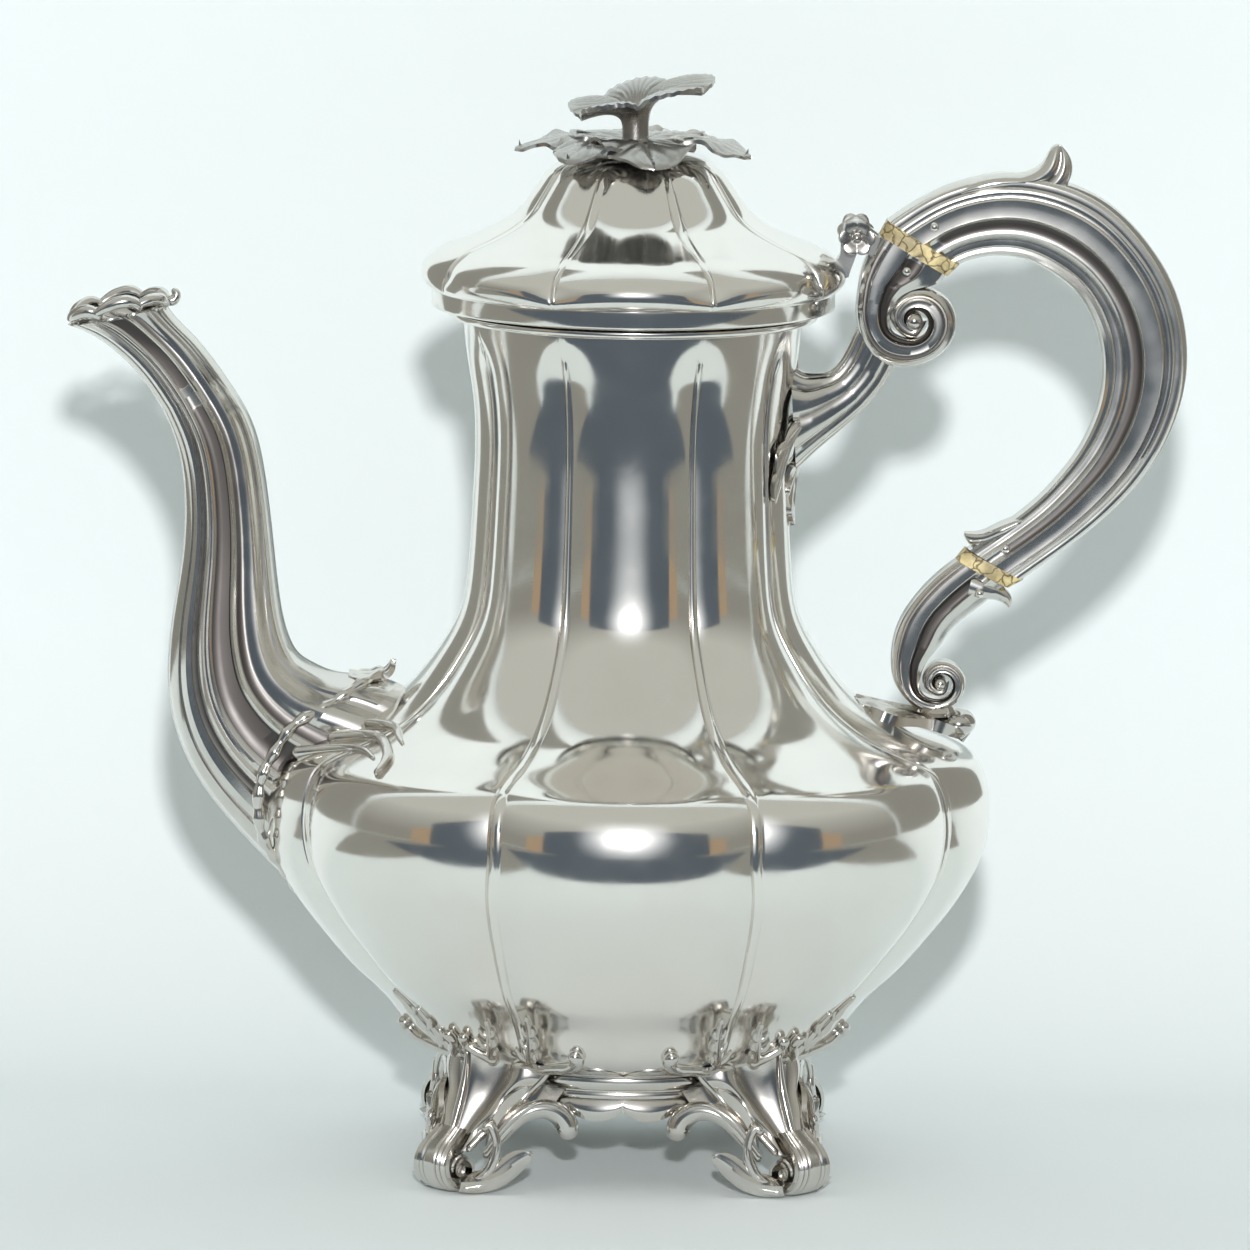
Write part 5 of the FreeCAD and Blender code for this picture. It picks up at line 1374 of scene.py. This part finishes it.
class COFFEEPOT_OT_frame_finishes(bpy.types.Operator):
    """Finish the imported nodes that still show"""

    bl_idname = "coffeepot.frame_finishes"
    bl_label = "Frame finishes"

    def execute(self, context):
        dress_frame(context.scene.pot_sizes)
        return {"FINISHED"}


class COFFEEPOT_OT_stage(bpy.types.Operator):
    """Set up the paper sweep, the lights and the camera"""

    bl_idname = "coffeepot.stage"
    bl_label = "Stage"

    def execute(self, context):
        build_stage(context.scene.pot_stage)
        return {"FINISHED"}


PIECES = [
    COFFEEPOT_OT_body,
    COFFEEPOT_OT_collar,
    COFFEEPOT_OT_foot_ring,
    COFFEEPOT_OT_feet,
    COFFEEPOT_OT_lid,
    COFFEEPOT_OT_spout,
    COFFEEPOT_OT_handle,
    COFFEEPOT_OT_sockets,
    COFFEEPOT_OT_insulators,
    COFFEEPOT_OT_pins,
    COFFEEPOT_OT_finial,
    COFFEEPOT_OT_hinge,
    COFFEEPOT_OT_frame_finishes,
]
SETTINGS = {"pot_sizes": PotSizes, "pot_finish": PotFinish, "pot_stage": PotStage}


class COFFEEPOT_PT_panel(bpy.types.Panel):
    """Lists the pieces of the coffee pot"""

    bl_idname = "COFFEEPOT_PT_panel"
    bl_label = "Coffee Pot"
    bl_space_type = "VIEW_3D"
    bl_region_type = "UI"
    bl_category = "Coffee Pot"

    def draw(self, context):
        for name, group in SETTINGS.items():
            box = self.layout.box()
            for key in group.__annotations__:
                box.prop(getattr(context.scene, name), key)
        for operator in PIECES + [COFFEEPOT_OT_stage]:
            self.layout.operator(operator.bl_idname)


CLASSES = [*SETTINGS.values(), *PIECES, COFFEEPOT_OT_stage, COFFEEPOT_PT_panel]


def register():
    for cls in CLASSES:
        bpy.utils.register_class(cls)
    for name, group in SETTINGS.items():
        setattr(bpy.types.Scene, name, bpy.props.PointerProperty(type=group))


def unregister():
    for name in SETTINGS:
        delattr(bpy.types.Scene, name)
    for cls in reversed(CLASSES):
        bpy.utils.unregister_class(cls)


def main():
    register()
    for operator in PIECES:
        getattr(bpy.ops.coffeepot, operator.bl_idname.split(".")[1])()
    bpy.ops.coffeepot.stage()


if __name__ == "__main__":
    main()
